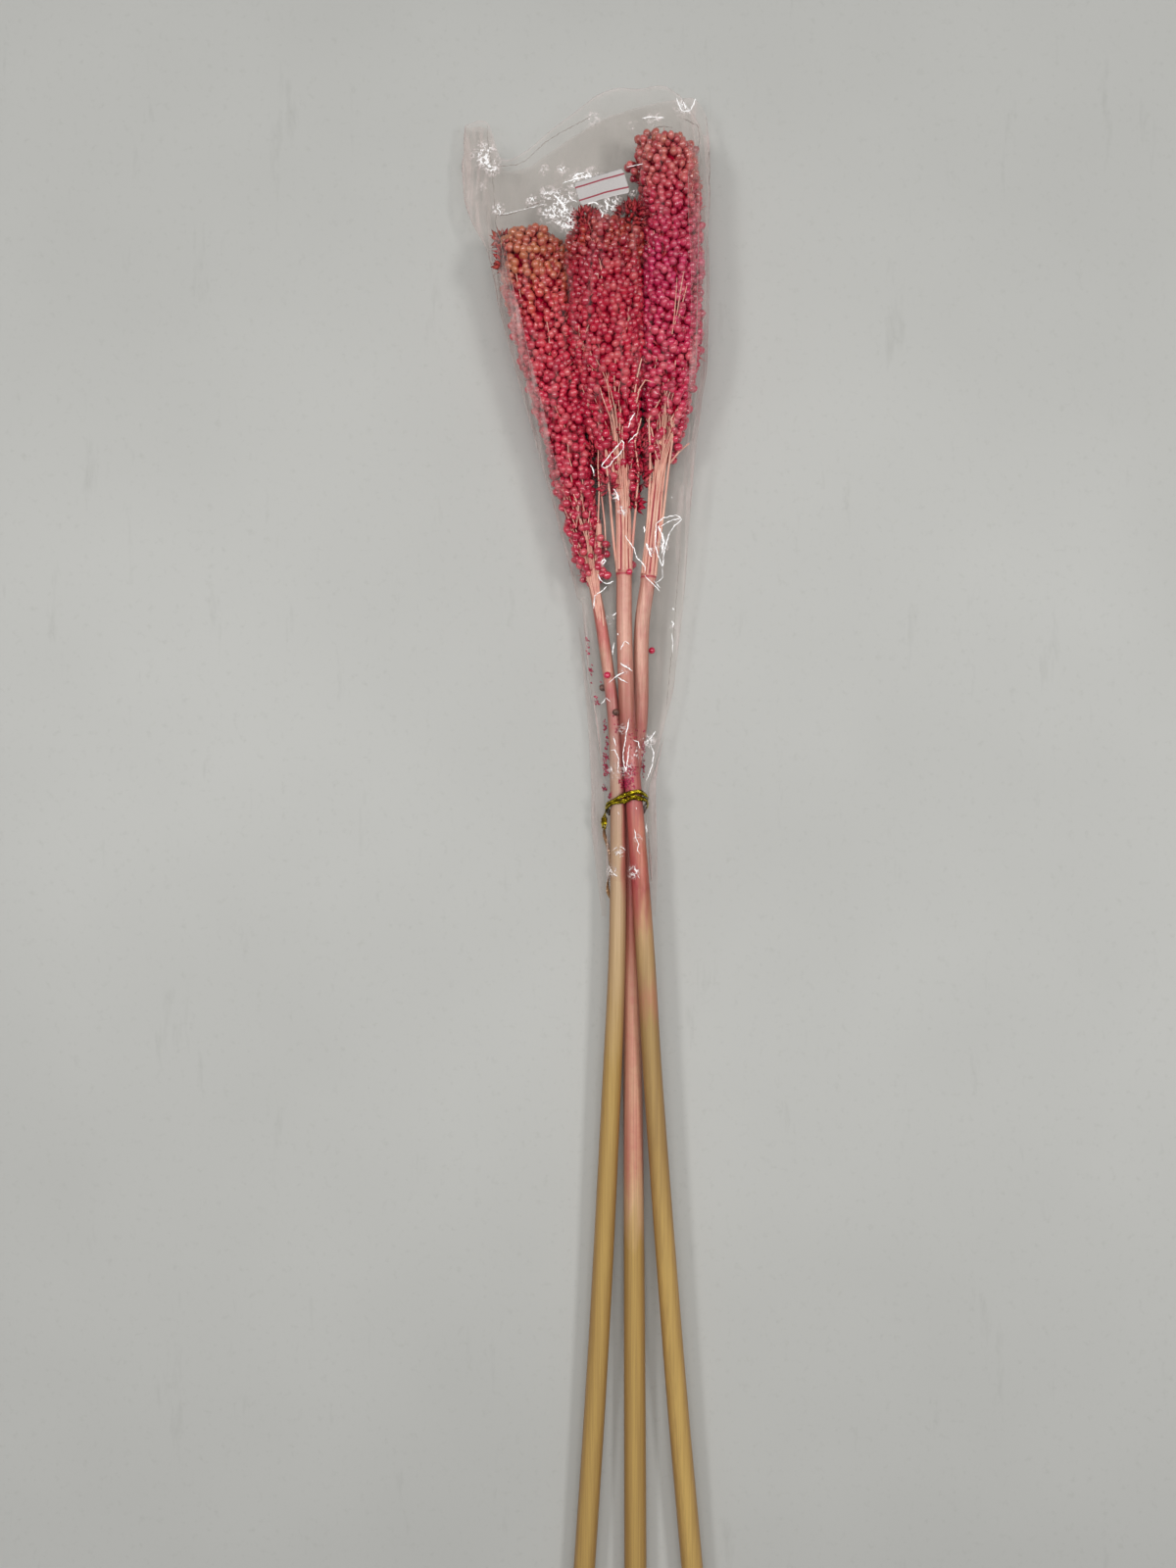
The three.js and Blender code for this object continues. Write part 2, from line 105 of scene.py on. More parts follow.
# How far up a head its stem reaches, how high its shell stays above the table, how near two heads are that
# press on each other, how far they then reach into each other, and the bumps of their outlines.
RACHIS_SHARE = 0.62
FLOOR_CLEARANCE = 2.1
PRESSED_GAP = 0.4
INTERLOCK = 2.2
LUMP = {"share": 0.09, "around": 3, "along_a": 9, "along_b": 14}

# The sleeve's film, its welded sides as y, x, z, and its mouth, cut askew, as x, y.
FILM = {"wall": 0.6, "room": 0.6, "head_room": 0.9, "sides": 176, "corner": 8}
LEFT_WELD = [
    (-36, 10.1, 9.5), (-6, 10.4, 10.4), (4, 10, 10.4), (16, 7.7, 9.5), (34, 5.7, 8), (52, 2.2, 8),
    (96, -2.3, 9), (157, -16.5, 11), (200, -30.3, 12), (232, -40.4, 12), (248, -44, 12), (265, -51.5, 11),
    (286, -55.2, 9), (318, -54.6, 7),
]
RIGHT_WELD = [
    (-36, 26.4, 10), (-6, 24.6, 11), (4, 24.8, 11), (16, 28.4, 9.5), (34, 33.2, 8.5), (52, 37.4, 8),
    (87, 41.4, 9), (140, 45.6, 12), (185, 49.6, 14), (223, 51.2, 14), (286, 53.6, 12), (318, 52.8, 8),
]
WELD_RADIUS = 1.25
MOUTH = {"from": 240, "to": 318, "x": 4, "radius_from": 14.5, "radius_to": 7.5}
MOUTH_CUT = [
    (-56, 305.5), (-45, 304.5), (-39.5, 288), (-28, 288.5), (-16, 297), (-2, 307), (7, 312), (20, 315.8),
    (34, 318), (46, 319), (50, 317), (54, 309),
]
UPPER_DROP = [(-56, 0), (10, 0), (22, 3.4), (33, 4.6), (42, 9.5), (50, 15), (54, 15)]

# The foil tie: where it wraps the sleeve, and the lines of its twisted end and tail as x, y, z.
TIE = {"reach": (-6, 4), "gap": 0.32, "width": 2.2, "pitch": 2.45, "tilt": 0.62, "lean": 0.08,
       "middle": 15.2, "sides": 120}
TWIST_LINE = [(9.4, -1.6, 12.6), (8.3, -3.6, 11.6), (7.6, -6.4, 10.4), (7.2, -9.4, 9.2), (7.2, -12.8, 8)]
TAIL_LINE = [
    (7.2, -12, 8.3), (7.5, -16, 7), (8.8, -20, 6), (9.6, -26, 5.2), (9.8, -33, 5.2), (9, -37.5, 6.4),
    (9.1, -41.5, 6.6), (10.4, -45, 5.4),
]

LABEL = {"length": 22, "width": 12.4, "thick": 0.12, "x": 6.0, "y": 265.6, "turn": 0.255, "corner": 1.6}

# The stage, in metres: the table, how far off the lamps are, each one's name, place, width, length and watts.
# The height of the camera's sensor is in millimetres.
TABLE = {"half": 1.6, "top": -0.0004, "bottom": -0.03}
LAMP_DISTANCE = 1.15
LAMPS = [
    ("lamp_left", (-0.68, 0.12), 0.18, 0.28, 3.1),
    ("lamp_right", (0.68, 0.12), 0.18, 0.28, 3.35),
    ("lamp_above", (0.0, 0.12), 0.75, 0.42, 3.6),
    ("soft_ceiling", (0.0, 0.25), 1.3, 1.3, 2.2),
]
SENSOR = 36.0


def smooth(rows, place):
    """Values of a smooth curve through rows of numbers, with each row's first number as its place."""
    last = len(rows) - 1
    at = min(max(place, rows[0][0]), rows[last][0])
    i = 0
    while i < last - 1 and at > rows[i + 1][0]:
        i += 1
    low, high = rows[i], rows[i + 1]
    before, after = rows[max(i - 1, 0)], rows[min(i + 2, last)]
    span = high[0] - low[0]
    u = (at - low[0]) / span
    values = []
    for k in range(1, len(low)):
        start = (high[k] - before[k]) / (high[0] - before[0])
        end = (after[k] - low[k]) / (after[0] - low[0])
        rise = (2 * u**3 - 3 * u**2 + 1) * low[k] + (3 * u**2 - 2 * u**3) * high[k]
        values.append(rise + span * ((u**3 - 2 * u**2 + u) * start + (u**3 - u**2) * end))
    return values


def ease(value, low, high):
    """0 below low, 1 above high, and a smooth step between them."""
    t = min(max((value - low) / (high - low), 0.0), 1.0)
    return t * t * (3 - 2 * t)


def shade(red, green, blue):
    """A colour as it looks on a screen, from 0 to 255, as Blender's linear colour with its alpha."""
    parts = [v / 255 for v in (red, green, blue)]
    return (*(v / 12.92 if v <= 0.04045 else ((v + 0.055) / 1.055) ** 2.4 for v in parts), 1.0)


def seen(px, py):
    """The point on the table under one dot of the picture."""
    return Vector(((px - PICTURE[0] / 2) * DOT, (PICTURE[1] / 2 - py) * DOT + EYE.y, 0.0))


def dot_of(point):
    """The dot of the picture where a point is seen."""
    scale = DOT * (1 - point[2] / EYE.z)
    return PICTURE[0] / 2 + (point[0] - EYE.x) / scale, PICTURE[1] / 2 - (point[1] - EYE.y) / scale


def length_prop(name, description, default, low, high):
    return bpy.props.FloatProperty(
        name=name, description=description, default=default, min=low, max=high, unit="LENGTH",
    )


def colour_prop(name, description, *tone):
    return bpy.props.FloatVectorProperty(
        name=name, description=description, default=shade(*tone)[:3], size=3, subtype="COLOR",
    )


class BunchSizes(bpy.types.PropertyGroup):
    """Sizes of the bunch's small parts."""

    grain_length: length_prop("Grain length", "Length of one seed", 0.0042, 0.001, 0.008)
    grain_spacing: length_prop("Grain spacing", "Least distance between seeds", 0.0024, 0.0015, 0.008)
    husk_length: length_prop("Husk length", "Length of one scale of a husk", 0.0034, 0.001, 0.008)
    branch_radius: length_prop("Branch radius", "Radius of a branch at the stem", 0.0004, 0.0002, 0.001)
    film_wall: length_prop("Film wall", "Thickness of the clear film", 0.00015, 0.00005, 0.0005)
    crease_radius: length_prop("Crease radius", "Half the width of a sharp crease", 0.00024, 0.0001, 0.001)


class BunchColours(bpy.types.PropertyGroup):
    """Colours of the bunch."""

    crimson: colour_prop("Crimson", "Main colour of the seeds", 214, 16, 68)
    coral: colour_prop("Coral", "Paler seeds at the tips", 194, 112, 72)
    magenta: colour_prop("Magenta", "Seeds in the middle of the right head", 202, 26, 94)
    # Dark red is painted as shade at the foot of each seed.
    dark_red: colour_prop("Dark red", "Husks and the depths of the heads", 126, 4, 44)
    peach: colour_prop("Peach", "Bare stem near the heads", 236, 190, 164)
    dye: colour_prop("Dye", "Dye that has run down the stems", 214, 104, 118)
    straw: colour_prop("Straw", "Undyed stem", 194, 159, 92)
    foil: colour_prop("Foil", "Gold of the twist tie", 216, 196, 46)


def sizes():
    return bpy.context.scene.bunch_sizes


def picked(name):
    """One of the bunch's colours, with its alpha."""
    return (*getattr(bpy.context.scene.bunch_colours, name), 1.0)


# Meshes


def outward(mesh):
    """Turn a closed mesh the right way out."""
    count = len(mesh.vertices)
    points = np.empty(count * 3)
    mesh.vertices.foreach_get("co", points)
    points = points.reshape(count, 3)
    mesh.calc_loop_triangles()
    corners = np.empty(len(mesh.loop_triangles) * 3, dtype=np.int64)
    mesh.loop_triangles.foreach_get("vertices", corners)
    a, b, c = (points[corners.reshape(-1, 3)[:, k]] for k in range(3))
    if np.einsum("ij,ij->i", a, np.cross(b, c)).sum() < 0:
        mesh.flip_normals()


def placed_object(name, data):
    """A new object in the scene, at the origin."""
    item = bpy.data.objects.new(name, data)
    bpy.context.scene.collection.objects.link(item)
    return item


def in_metres(points):
    """Points in millimetres round the tie, as rows in metres round the base's middle."""
    return ((np.array([tuple(p) for p in points], dtype=float) - np.array(MIDDLE)) * MM).tolist()


def new_piece(name, points, faces, closed=True):
    """A smooth mesh object, from points in millimetres round the tie."""
    mesh = bpy.data.meshes.new(name)
    mesh.from_pydata(in_metres(points), [], faces)
    mesh.update()
    if closed:
        outward(mesh)
    mesh.shade_smooth()
    return placed_object(name, mesh)


def lofted(rings, ends="capped", first=0):
    """Points and faces of a tube through rings of points. Its two ends are capped, open or joined."""
    sides = len(rings[0])
    points = [p for ring in rings for p in ring]
    faces = []
    for r in range(len(rings) if ends == "joined" else len(rings) - 1):
        here, there = first + r * sides, first + (r + 1) % len(rings) * sides
        for s in range(sides):
            t = (s + 1) % sides
            faces.append((here + s, here + t, there + t, there + s))
    if ends == "capped":
        for ring, turned in ((0, True), (len(rings) - 1, False)):
            centre, start = first + len(points), first + ring * sides
            points.append(sum((Vector(p) for p in rings[ring]), Vector()) / sides)
            for s in range(sides):
                a, b = start + s, start + (s + 1) % sides
                faces.append((b, a, centre) if turned else (a, b, centre))
    return points, faces


def many_lofts(name, parts):
    """One piece from several tubes, each as its rings and what its ends are."""
    points, faces = [], []
    for rings, ends in parts:
        more_points, more_faces = lofted(rings, ends, len(points))
        points += more_points
        faces += more_faces
    return new_piece(name, points, faces)


def grid_faces(rows, columns):
    """Faces of an open sheet of points in rows."""
    return [
        (r * columns + c, r * columns + c + 1, (r + 1) * columns + c + 1, (r + 1) * columns + c)
        for r in range(rows - 1)
        for c in range(columns - 1)
    ]


def kept_result(piece, modifier):
    """Put the plain mesh that a modifier makes in the place of a piece's own."""
    bpy.context.view_layer.update()
    mesh = bpy.data.meshes.new_from_object(piece.evaluated_get(bpy.context.evaluated_depsgraph_get()))
    piece.modifiers.remove(modifier)
    old, piece.data = piece.data, mesh
    bpy.data.meshes.remove(old)
    mesh.name = piece.name


def walled(piece, thickness, side):
    """Give an open sheet its wall: behind its faces with side -1, in front of them with side 1."""
    modifier = piece.modifiers.new("wall", "SOLIDIFY")
    modifier.thickness, modifier.offset, modifier.use_rim = thickness, side, True
    kept_result(piece, modifier)


def round_angles(count):
    return [s / count * 2 * pi for s in range(count)]


def round_point(x, y, z, radius, angle):
    """A point away from a line that runs along the bunch."""
    return Vector((x + radius * cos(angle), y, z + radius * sin(angle)))


def set_values(mesh, name, values):
    """Store one number a point on a mesh, for its material or its node tree."""
    layer = mesh.attributes.new(name, "FLOAT", "POINT")
    layer.data.foreach_set("value", np.array(values, dtype=np.float32))


def finish_piece(piece, material=None, replaced=()):
    """Put a finished piece on the bunch's one body."""
    if material is not None:
        piece.data.materials.clear()
        piece.data.materials.append(material)
    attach(piece, "root")
    if replaced:
        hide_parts(*replaced)
    return piece


# Stems and heads


def stem_at(stem, y):
    """A stem's x, z and radius at one place along the bunch."""
    return smooth(stem["route"], y)


def rachis_end(stem):
    """Where a stem ends inside its head."""
    head = stem["head"]
    return head["base"] + RACHIS_SHARE * (head["tip"] - head["base"])


def head_radius(head, share):
    swell = head["neck"] + (1 - head["neck"]) * min(share / head["shoulder"], 1) ** head["flare"]
    over = max(0.0, (share - head["cap"]) / (1 - head["cap"]))
    return head["radius"] * swell * sqrt(max(0.0, 1 - over**3))


def head_at(stem, y):
    head = stem["head"]
    share = (y - head["base"]) / (head["tip"] - head["base"])
    x, z, _ = stem_at(stem, y)
    return x, z, 0.0 if share < 0 or share > 1 else head_radius(head, share)


def other_heads(stem, y):
    return [head_at(s, y) for s in STEMS.values() if s is not stem]


def pressed_radius(stem, y, angle, share, nearby=None):
    """Radius of a head in one direction, where it lies on the table and presses on the other heads."""
    x, z, reach = head_at(stem, y)
    along, up = cos(angle), sin(angle)
    radius = reach * share
    if up < 0:
        radius = min(radius, (FLOOR_CLEARANCE - z) / up)
    for next_x, next_z, next_reach in nearby or other_heads(stem, y):
        apart = hypot(next_x - x, next_z - z)
        if next_reach == 0 or apart > reach + next_reach + PRESSED_GAP:
            continue
        plane = (apart**2 + reach**2 - next_reach**2) / (2 * apart) + INTERLOCK
        facing = ((next_x - x) * along + (next_z - z) * up) / apart
        if facing > 0:
            radius = min(radius, plane / facing)
    return max(radius, 0.0)


def lumps(stem, y, angle):
    spiral = sin(LUMP["around"] * angle + y / LUMP["along_a"] + stem["turn"])
    return 1 - LUMP["share"] * (0.5 + 0.5 * spiral * sin(y / LUMP["along_b"] + stem["turn"]))


def bare_share(stem, y, angle):
    """How bare the top of a head is where its branches leave the stem, from 0 to 1."""
    bare = stem["bare"]
    start = stem["head"]["base"]
    along = min(max((y - start) / (bare["until"] - start), 0.0), 1.0)
    half = bare["half"] * (1 - along) ** 0.6
    away = abs(atan2(sin(angle - pi / 2), cos(angle - pi / 2)))
    return 0.0 if along >= 1 else 1 - ease(away, half * 0.75, half * 1.1 + 0.02)


def even_shares(head, rows):
    """Shares of a head's length with even steps along its outline."""
    fine = 600
    length = head["tip"] - head["base"]
    radii = [head_radius(head, k / fine) for k in range(fine + 1)]
    along = [0.0]
    for k in range(fine):
        along.append(along[k] + hypot(length / fine, radii[k + 1] - radii[k]))
    wanted = np.linspace(0.0, along[-1], rows + 1)
    return np.interp(wanted, along, np.arange(fine + 1) / fine)


def outline_slope(head, share):
    """Direction square to a head's outline: along the stem, and away from it."""
    step = 0.002
    low, high = max(share - step, 0.0), min(share + step, 1.0)
    rise = head_radius(head, high) - head_radius(head, low)
    run = (high - low) * (head["tip"] - head["base"])
    size = hypot(rise, run)
    return (1.0, 0.0) if share > 0.999 else (-rise / size, run / size)


def head_shell(side, inset, rows, around, rough):
    """Rings of points a little inside a head's outline, with how thickly seeds cover each point."""
    stem = STEMS[side]
    head = stem["head"]
    rings, cover = [], []
    for share in even_shares(head, rows):
        y = head["base"] + share * (head["tip"] - head["base"])
        x, z, thick = stem_at(stem, y)
        nearby = other_heads(stem, y)
        least = thick + 0.5 if share < RACHIS_SHARE else 0.2
        forward, away = outline_slope(head, share)
        ring = []
        for angle in round_angles(around):
            outline = pressed_radius(stem, y, angle, lumps(stem, y, angle), nearby)
            hill = noise.noise(Vector((3 * cos(angle) + stem["turn"], y / 6.5, 3 * sin(angle))))
            depth = inset + rough * (0.5 + hill)
            bare = bare_share(stem, y, angle)
            radius = max(outline - depth * away, least)
            radius += (0.6 * thick - radius) * bare
            drawn_in = max(y - depth * forward, head["base"])
            ring.append(round_point(x, drawn_in, z, radius, angle))
            cover.append(1 - bare)
        rings.append(ring)
    return rings, cover


# Small shapes that are repeated over the heads


def grain_shape(name, length, width, pinch):
    """One seed along +Z, with its foot at the origin."""
    rings = []
    for share, reach in ((0.12, 0.62), (0.42, 1.0), (0.7, 0.88), (0.9, 0.52)):
        ring = []
        for angle in round_angles(8):
            squeeze = 1 - pinch * share * cos(2 * angle)
            radius = width / 2 * reach * squeeze
            ring.append((radius * cos(angle), radius * sin(angle), share * length))
        rings.append(ring)
    points, faces = lofted(rings)
    points[-2:] = [(0.0, 0.0, 0.0), (0.0, 0.0, length * (1 - 0.06 * pinch))]
    return small_shape(name, points, faces, length)


def husk_shape(name, length, scales, spread):
    """A few pointed scales that open from one foot, along +Z."""
    points, faces = [], []
    for k in range(scales):
        turn = k / scales * 2 * pi + 0.5 * sin(3.7 * k)
        lean = spread * (0.8 + 0.35 * sin(2.3 * k + scales))
        out = Vector((sin(lean) * cos(turn), sin(lean) * sin(turn), cos(lean)))
        side = Vector((-sin(turn), cos(turn), 0)) * length * 0.25
        above = out.cross(side).normalized() * length * 0.075
        middle = out * length * 0.45
        first = len(points)
        points += [Vector(), middle + side, middle + above, middle - side, middle - above, out * length]
        for s in range(4):
            a, b = first + 1 + s, first + 1 + (s + 1) % 4
            faces += [(first, b, a), (first + 5, a, b)]
    return small_shape(name, points, faces, length)


def glume_shape(name, length, spikes, spread):
    """Thin straight bristles that fan out from one foot, along +Z."""
    points, faces = [], []
    for k in range(spikes):
        lean = spread * ((k + 0.5) / spikes * 2 - 1)
        reach = length * (0.8 + 0.2 * cos(2.1 * k))
        out = Vector((sin(lean), 0.25 * sin(3 * k), cos(lean))).normalized()
        side = Vector((cos(lean), 0, -sin(lean))) * length * 0.045
        above = out.cross(side).normalized() * length * 0.03
        first = len(points)
        points += [side * 0.4, above * 0.4, -side * 0.4, -above * 0.4]
        points += [out * reach * 0.6 + corner for corner in (side, above, -side, -above)] + [out * reach]
        for s in range(4):
            t = (s + 1) % 4
            faces.append((first + s, first + t, first + 4 + t, first + 4 + s))
            faces.append((first + 4 + s, first + 4 + t, first + 8))
        faces.append((first + 3, first + 2, first + 1, first))
    return small_shape(name, points, faces, length)


def small_shape(name, points, faces, length):
    """A shape to scatter, with how far up its length each point is."""
    mesh = bpy.data.meshes.new(name)
    mesh.from_pydata([tuple(p) for p in points], [], faces)
    mesh.update()
    outward(mesh)
    mesh.shade_smooth()
    set_values(mesh, "rise", [p[2] / length for p in points])
    return placed_object(name, mesh)


# Node trees


def feed(tree, socket, value):
    """Link an output to a socket, or set the socket's own value."""
    if isinstance(value, bpy.types.NodeSocket):
        tree.links.new(value, socket)
    else:
        socket.default_value = value


def add_node(tree, kind, values=None, **settings):
    """Add a node, set its fields, and set or link its inputs by name or number."""
    node = tree.nodes.new(kind)
    for name, value in settings.items():
        setattr(node, name, value)
    for name, value in (values or {}).items():
        feed(tree, node.inputs[name], value)
    return node


def result(tree, kind, values=None, **settings):
    """The first output of a new node."""
    return add_node(tree, kind, values, **settings).outputs[0]


def math_node(tree, operation, a, b=0.0, clamp=False):
    return result(tree, "ShaderNodeMath", {0: a, 1: b}, operation=operation, use_clamp=clamp)


def times(tree, a, b):
    return math_node(tree, "MULTIPLY", a, b)


def add_sockets(tree, way, sockets):
    """Named sockets on a tree's way in or out, each with its usual value or else with its type."""
    for label, usual in sockets.items():
        kind = usual if isinstance(usual, str) else {int: "Int", float: "Float"}[type(usual)]
        socket = tree.interface.new_socket(label, in_out=way, socket_type="NodeSocket" + kind)
        if usual != kind:
            socket.default_value = usual


def new_tree(name, kind, inputs, outputs):
    """An empty node tree, with its inputs and its outputs as they are used inside it."""
    tree = bpy.data.node_groups.new(name, kind)
    add_sockets(tree, "INPUT", inputs)
    add_sockets(tree, "OUTPUT", outputs)
    return tree, tree.nodes.new("NodeGroupInput").outputs, tree.nodes.new("NodeGroupOutput").inputs


def shared_tree(name, maker):
    return bpy.data.node_groups.get(name) or maker()


# Node trees for geometry


def grown(piece, tree, values):
    """Run a node tree on a piece with these inputs, and keep the plain mesh that it makes."""
    modifier = piece.modifiers.new(tree.name, "NODES")
    modifier.node_group = tree
    for item in tree.interface.items_tree:
        if item.in_out == "INPUT" and item.name in values:
            modifier[item.identifier] = values[item.name]
    kept_result(piece, modifier)
    return piece


def pressed_on_table(piece, soft=0.6 * MM):
    """Squeeze whatever reaches under the table into a thin layer on top of it."""
    for point in piece.data.vertices:
        if point.co.z < soft:
            point.co.z = soft * exp((point.co.z - soft) / soft)
    return piece


def named_value(tree, name):
    """A number stored on the points of the mesh that a tree is run on."""
    return result(tree, "GeometryNodeInputNamedAttribute", {"Name": name}, data_type="FLOAT")


def random_value(tree, seed, shift, low, high):
    """A random number from low to high for each point."""
    values = {2: low, 3: high, "Seed": math_node(tree, "ADD", seed, shift)}
    return add_node(tree, "FunctionNodeRandomValue", values, data_type="FLOAT").outputs[1]


def realized(tree, geometry, given, made):
    """End a tree with plain geometry in the material that it was given."""
    real = result(tree, "GeometryNodeRealizeInstances", {"Geometry": geometry})
    painted = result(tree, "GeometryNodeSetMaterial", {"Geometry": real, "Material": given["Material"]})
    feed(tree, made["Geometry"], painted)


def scatter_tree():
    """Seeds or husks spread evenly over a head, leaning towards its tip."""
    tree, given, made = new_tree("Scatter over a head", "GeometryNodeTree", {
        "Geometry": "Geometry", "Spacing": 0.003, "Depth": 0.001, "Lean": 0.5, "Stray": 0.3,
        "Least size": 0.85, "Most size": 1.15, "Seed": 1, "Shape A": "Object", "Shape B": "Object",
        "Shape C": "Object", "Material": "Material",
    }, {"Geometry": "Geometry"})
    seed = given["Seed"]
    spread = add_node(tree, "GeometryNodeDistributePointsOnFaces", {
        "Mesh": given["Geometry"], "Distance Min": given["Spacing"], "Density Max": 1e7,
        "Density Factor": named_value(tree, "cover"), "Seed": seed,
    }, distribute_method="POISSON").outputs
    sink = random_value(tree, seed, 11, 0.0, 1.0)
    down = times(tree, times(tree, sink, given["Depth"]), -1.0)
    inwards = result(tree, "ShaderNodeVectorMath", {0: spread["Normal"], "Scale": down}, operation="SCALE")
    points = result(tree, "GeometryNodeSetPosition", {"Geometry": spread["Points"], "Offset": inwards})
    # How deep each one is sunk, which the seed material darkens as painted shade.
    for name, value in (("depth", sink), ("tone", random_value(tree, seed, 23, 0.0, 1.0))):
        points = result(tree, "GeometryNodeStoreNamedAttribute", {
            "Geometry": points, "Name": name, "Value": value,
        }, data_type="FLOAT", domain="POINT")
    forward = result(tree, "ShaderNodeCombineXYZ", {"Y": given["Lean"]})
    leaning = result(tree, "ShaderNodeVectorMath", {0: spread["Normal"], 1: forward}, operation="ADD")
    shifts = {k: times(tree, random_value(tree, seed, 31 + k, -1.0, 1.0), given["Stray"]) for k in range(3)}
    jitter = result(tree, "ShaderNodeCombineXYZ", shifts)
    facing = result(tree, "ShaderNodeVectorMath", {0: leaning, 1: jitter}, operation="ADD")
    pointed = result(tree, "FunctionNodeAlignRotationToVector", {"Vector": facing}, axis="Z")
    spin = result(tree, "FunctionNodeAxisAngleToRotation", {
        "Axis": (0.0, 0.0, 1.0), "Angle": random_value(tree, seed, 41, 0.0, 2 * pi),
    })
    turned = result(tree, "FunctionNodeRotateRotation", {
        "Rotation": pointed, "Rotate By": spin,
    }, rotation_space="LOCAL")
    choice = tree.nodes.new("GeometryNodeJoinGeometry")
    for label in ("Shape A", "Shape B", "Shape C"):
        shape = add_node(tree, "GeometryNodeObjectInfo", {"Object": given[label], "As Instance": True})
        tree.links.new(shape.outputs["Geometry"], choice.inputs[0])
    which = add_node(tree, "FunctionNodeRandomValue", {
        4: 0, 5: 2, "Seed": math_node(tree, "ADD", seed, 53.0),
    }, data_type="INT").outputs[2]
    placed = result(tree, "GeometryNodeInstanceOnPoints", {
        "Points": points, "Instance": choice.outputs[0], "Pick Instance": True, "Instance Index": which,
        "Rotation": turned, "Scale": random_value(tree, seed, 61.0, given["Least size"], given["Most size"]),
    })
    realized(tree, placed, given, made)
    return tree


def thread_tree():
    """Round threads along lines of points, as thick as each point says."""
    tree, given, made = new_tree("Threads along lines", "GeometryNodeTree", {
        "Geometry": "Geometry", "Sides": 6, "Material": "Material",
    }, {"Geometry": "Geometry"})
    lines = result(tree, "GeometryNodeMeshToCurve", {"Mesh": given["Geometry"]})
    profile = result(tree, "GeometryNodeCurvePrimitiveCircle", {"Resolution": given["Sides"], "Radius": 1.0})
    tube = result(tree, "GeometryNodeCurveToMesh", {
        "Curve": lines, "Profile Curve": profile, "Scale": named_value(tree, "radius"), "Fill Caps": True,
    })
    realized(tree, result(tree, "GeometryNodeSetShadeSmooth", {"Geometry": tube}), given, made)
    return tree


def threads(name, lines, sides, material):
    """One piece of round threads. Each line is a list of (point, radius), in millimetres."""
    points, edges, radii = [], [], []
    for line in lines:
        first = len(points)
        points += [point for point, _ in line]
        radii += [radius * MM for _, radius in line]
        edges += [(first + k, first + k + 1) for k in range(len(line) - 1)]
    mesh = bpy.data.meshes.new(name)
    mesh.from_pydata(in_metres(points), edges, [])
    set_values(mesh, "radius", radii)
    tree = shared_tree("Threads along lines", thread_tree)
    return grown(placed_object(name, mesh), tree, {"Sides": sides, "Material": material})


# Materials


def mixed(tree, factor, a, b, blend="MIX"):
    """One colour from two."""
    values = {0: factor, 6: a, 7: b}
    return add_node(tree, "ShaderNodeMix", values, data_type="RGBA", blend_type=blend).outputs[2]


def stretched(tree, value, low, high, start=0.0, end=1.0):
    """A value from low to high, moved to run from start to end and held there."""
    return result(tree, "ShaderNodeMapRange", {
        "Value": value, "From Min": low, "From Max": high, "To Min": start, "To Max": end,
    })


def ramp(tree, factor, stops):
    """A colour ramp with (place, colour) stops."""
    node = add_node(tree, "ShaderNodeValToRGB", {0: factor})
    elements = node.color_ramp.elements
    while len(elements) < len(stops):
        elements.new(0.5)
    for element, (place, colour) in zip(elements, stops):
        element.position, element.color = place, colour
    return node.outputs[0]


def object_point(tree):
    """The point on the piece, in metres."""
    return tree.nodes.new("ShaderNodeTexCoord").outputs["Object"]


def object_place(tree, scale=(1.0, 1.0, 1.0)):
    """The point on the piece, with each direction scaled."""
    return result(tree, "ShaderNodeMapping", {"Vector": object_point(tree), "Scale": scale})


def noise_value(tree, place, scale, detail=2.0, roughness=0.5):
    return result(tree, "ShaderNodeTexNoise", {
        "Vector": place, "Scale": scale, "Detail": detail, "Roughness": roughness,
    })


def attribute(tree, name):
    return add_node(tree, "ShaderNodeAttribute", attribute_name=name).outputs["Fac"]


def new_material(name, **constants):
    """A material with one Principled shader, and plain values on its sockets."""
    material = bpy.data.materials.new(name)
    material.use_nodes = True
    tree = material.node_tree
    shader = tree.nodes["Principled BSDF"]
    for label, value in constants.items():
        shader.inputs[label.replace("_", " ")].default_value = value
    return material, tree, shader


def painted(tree, shader, colour, height, strength, distance):
    """Give a shader its colour and its fine relief."""
    bump = result(tree, "ShaderNodeBump", {"Height": height, "Strength": strength, "Distance": distance})
    tree.links.new(colour, shader.inputs["Base Color"])
    tree.links.new(bump, shader.inputs["Normal"])


def see_through(tree, shader, density, tint=(1.0, 1.0, 1.0, 1.0)):
    """Show a shader only as densely as a mask says, over clear film."""
    clear = result(tree, "ShaderNodeBsdfTransparent", {"Color": tint})
    joined = result(tree, "ShaderNodeMixShader", {0: density, 1: clear, 2: shader.outputs[0]})
    tree.links.new(joined, tree.nodes["Material Output"].inputs["Surface"])


def use_group(tree, name, maker, values):
    """The outputs of a shared shader group with these inputs."""
    return add_node(tree, "ShaderNodeGroup", values, node_tree=shared_tree(name, maker)).outputs


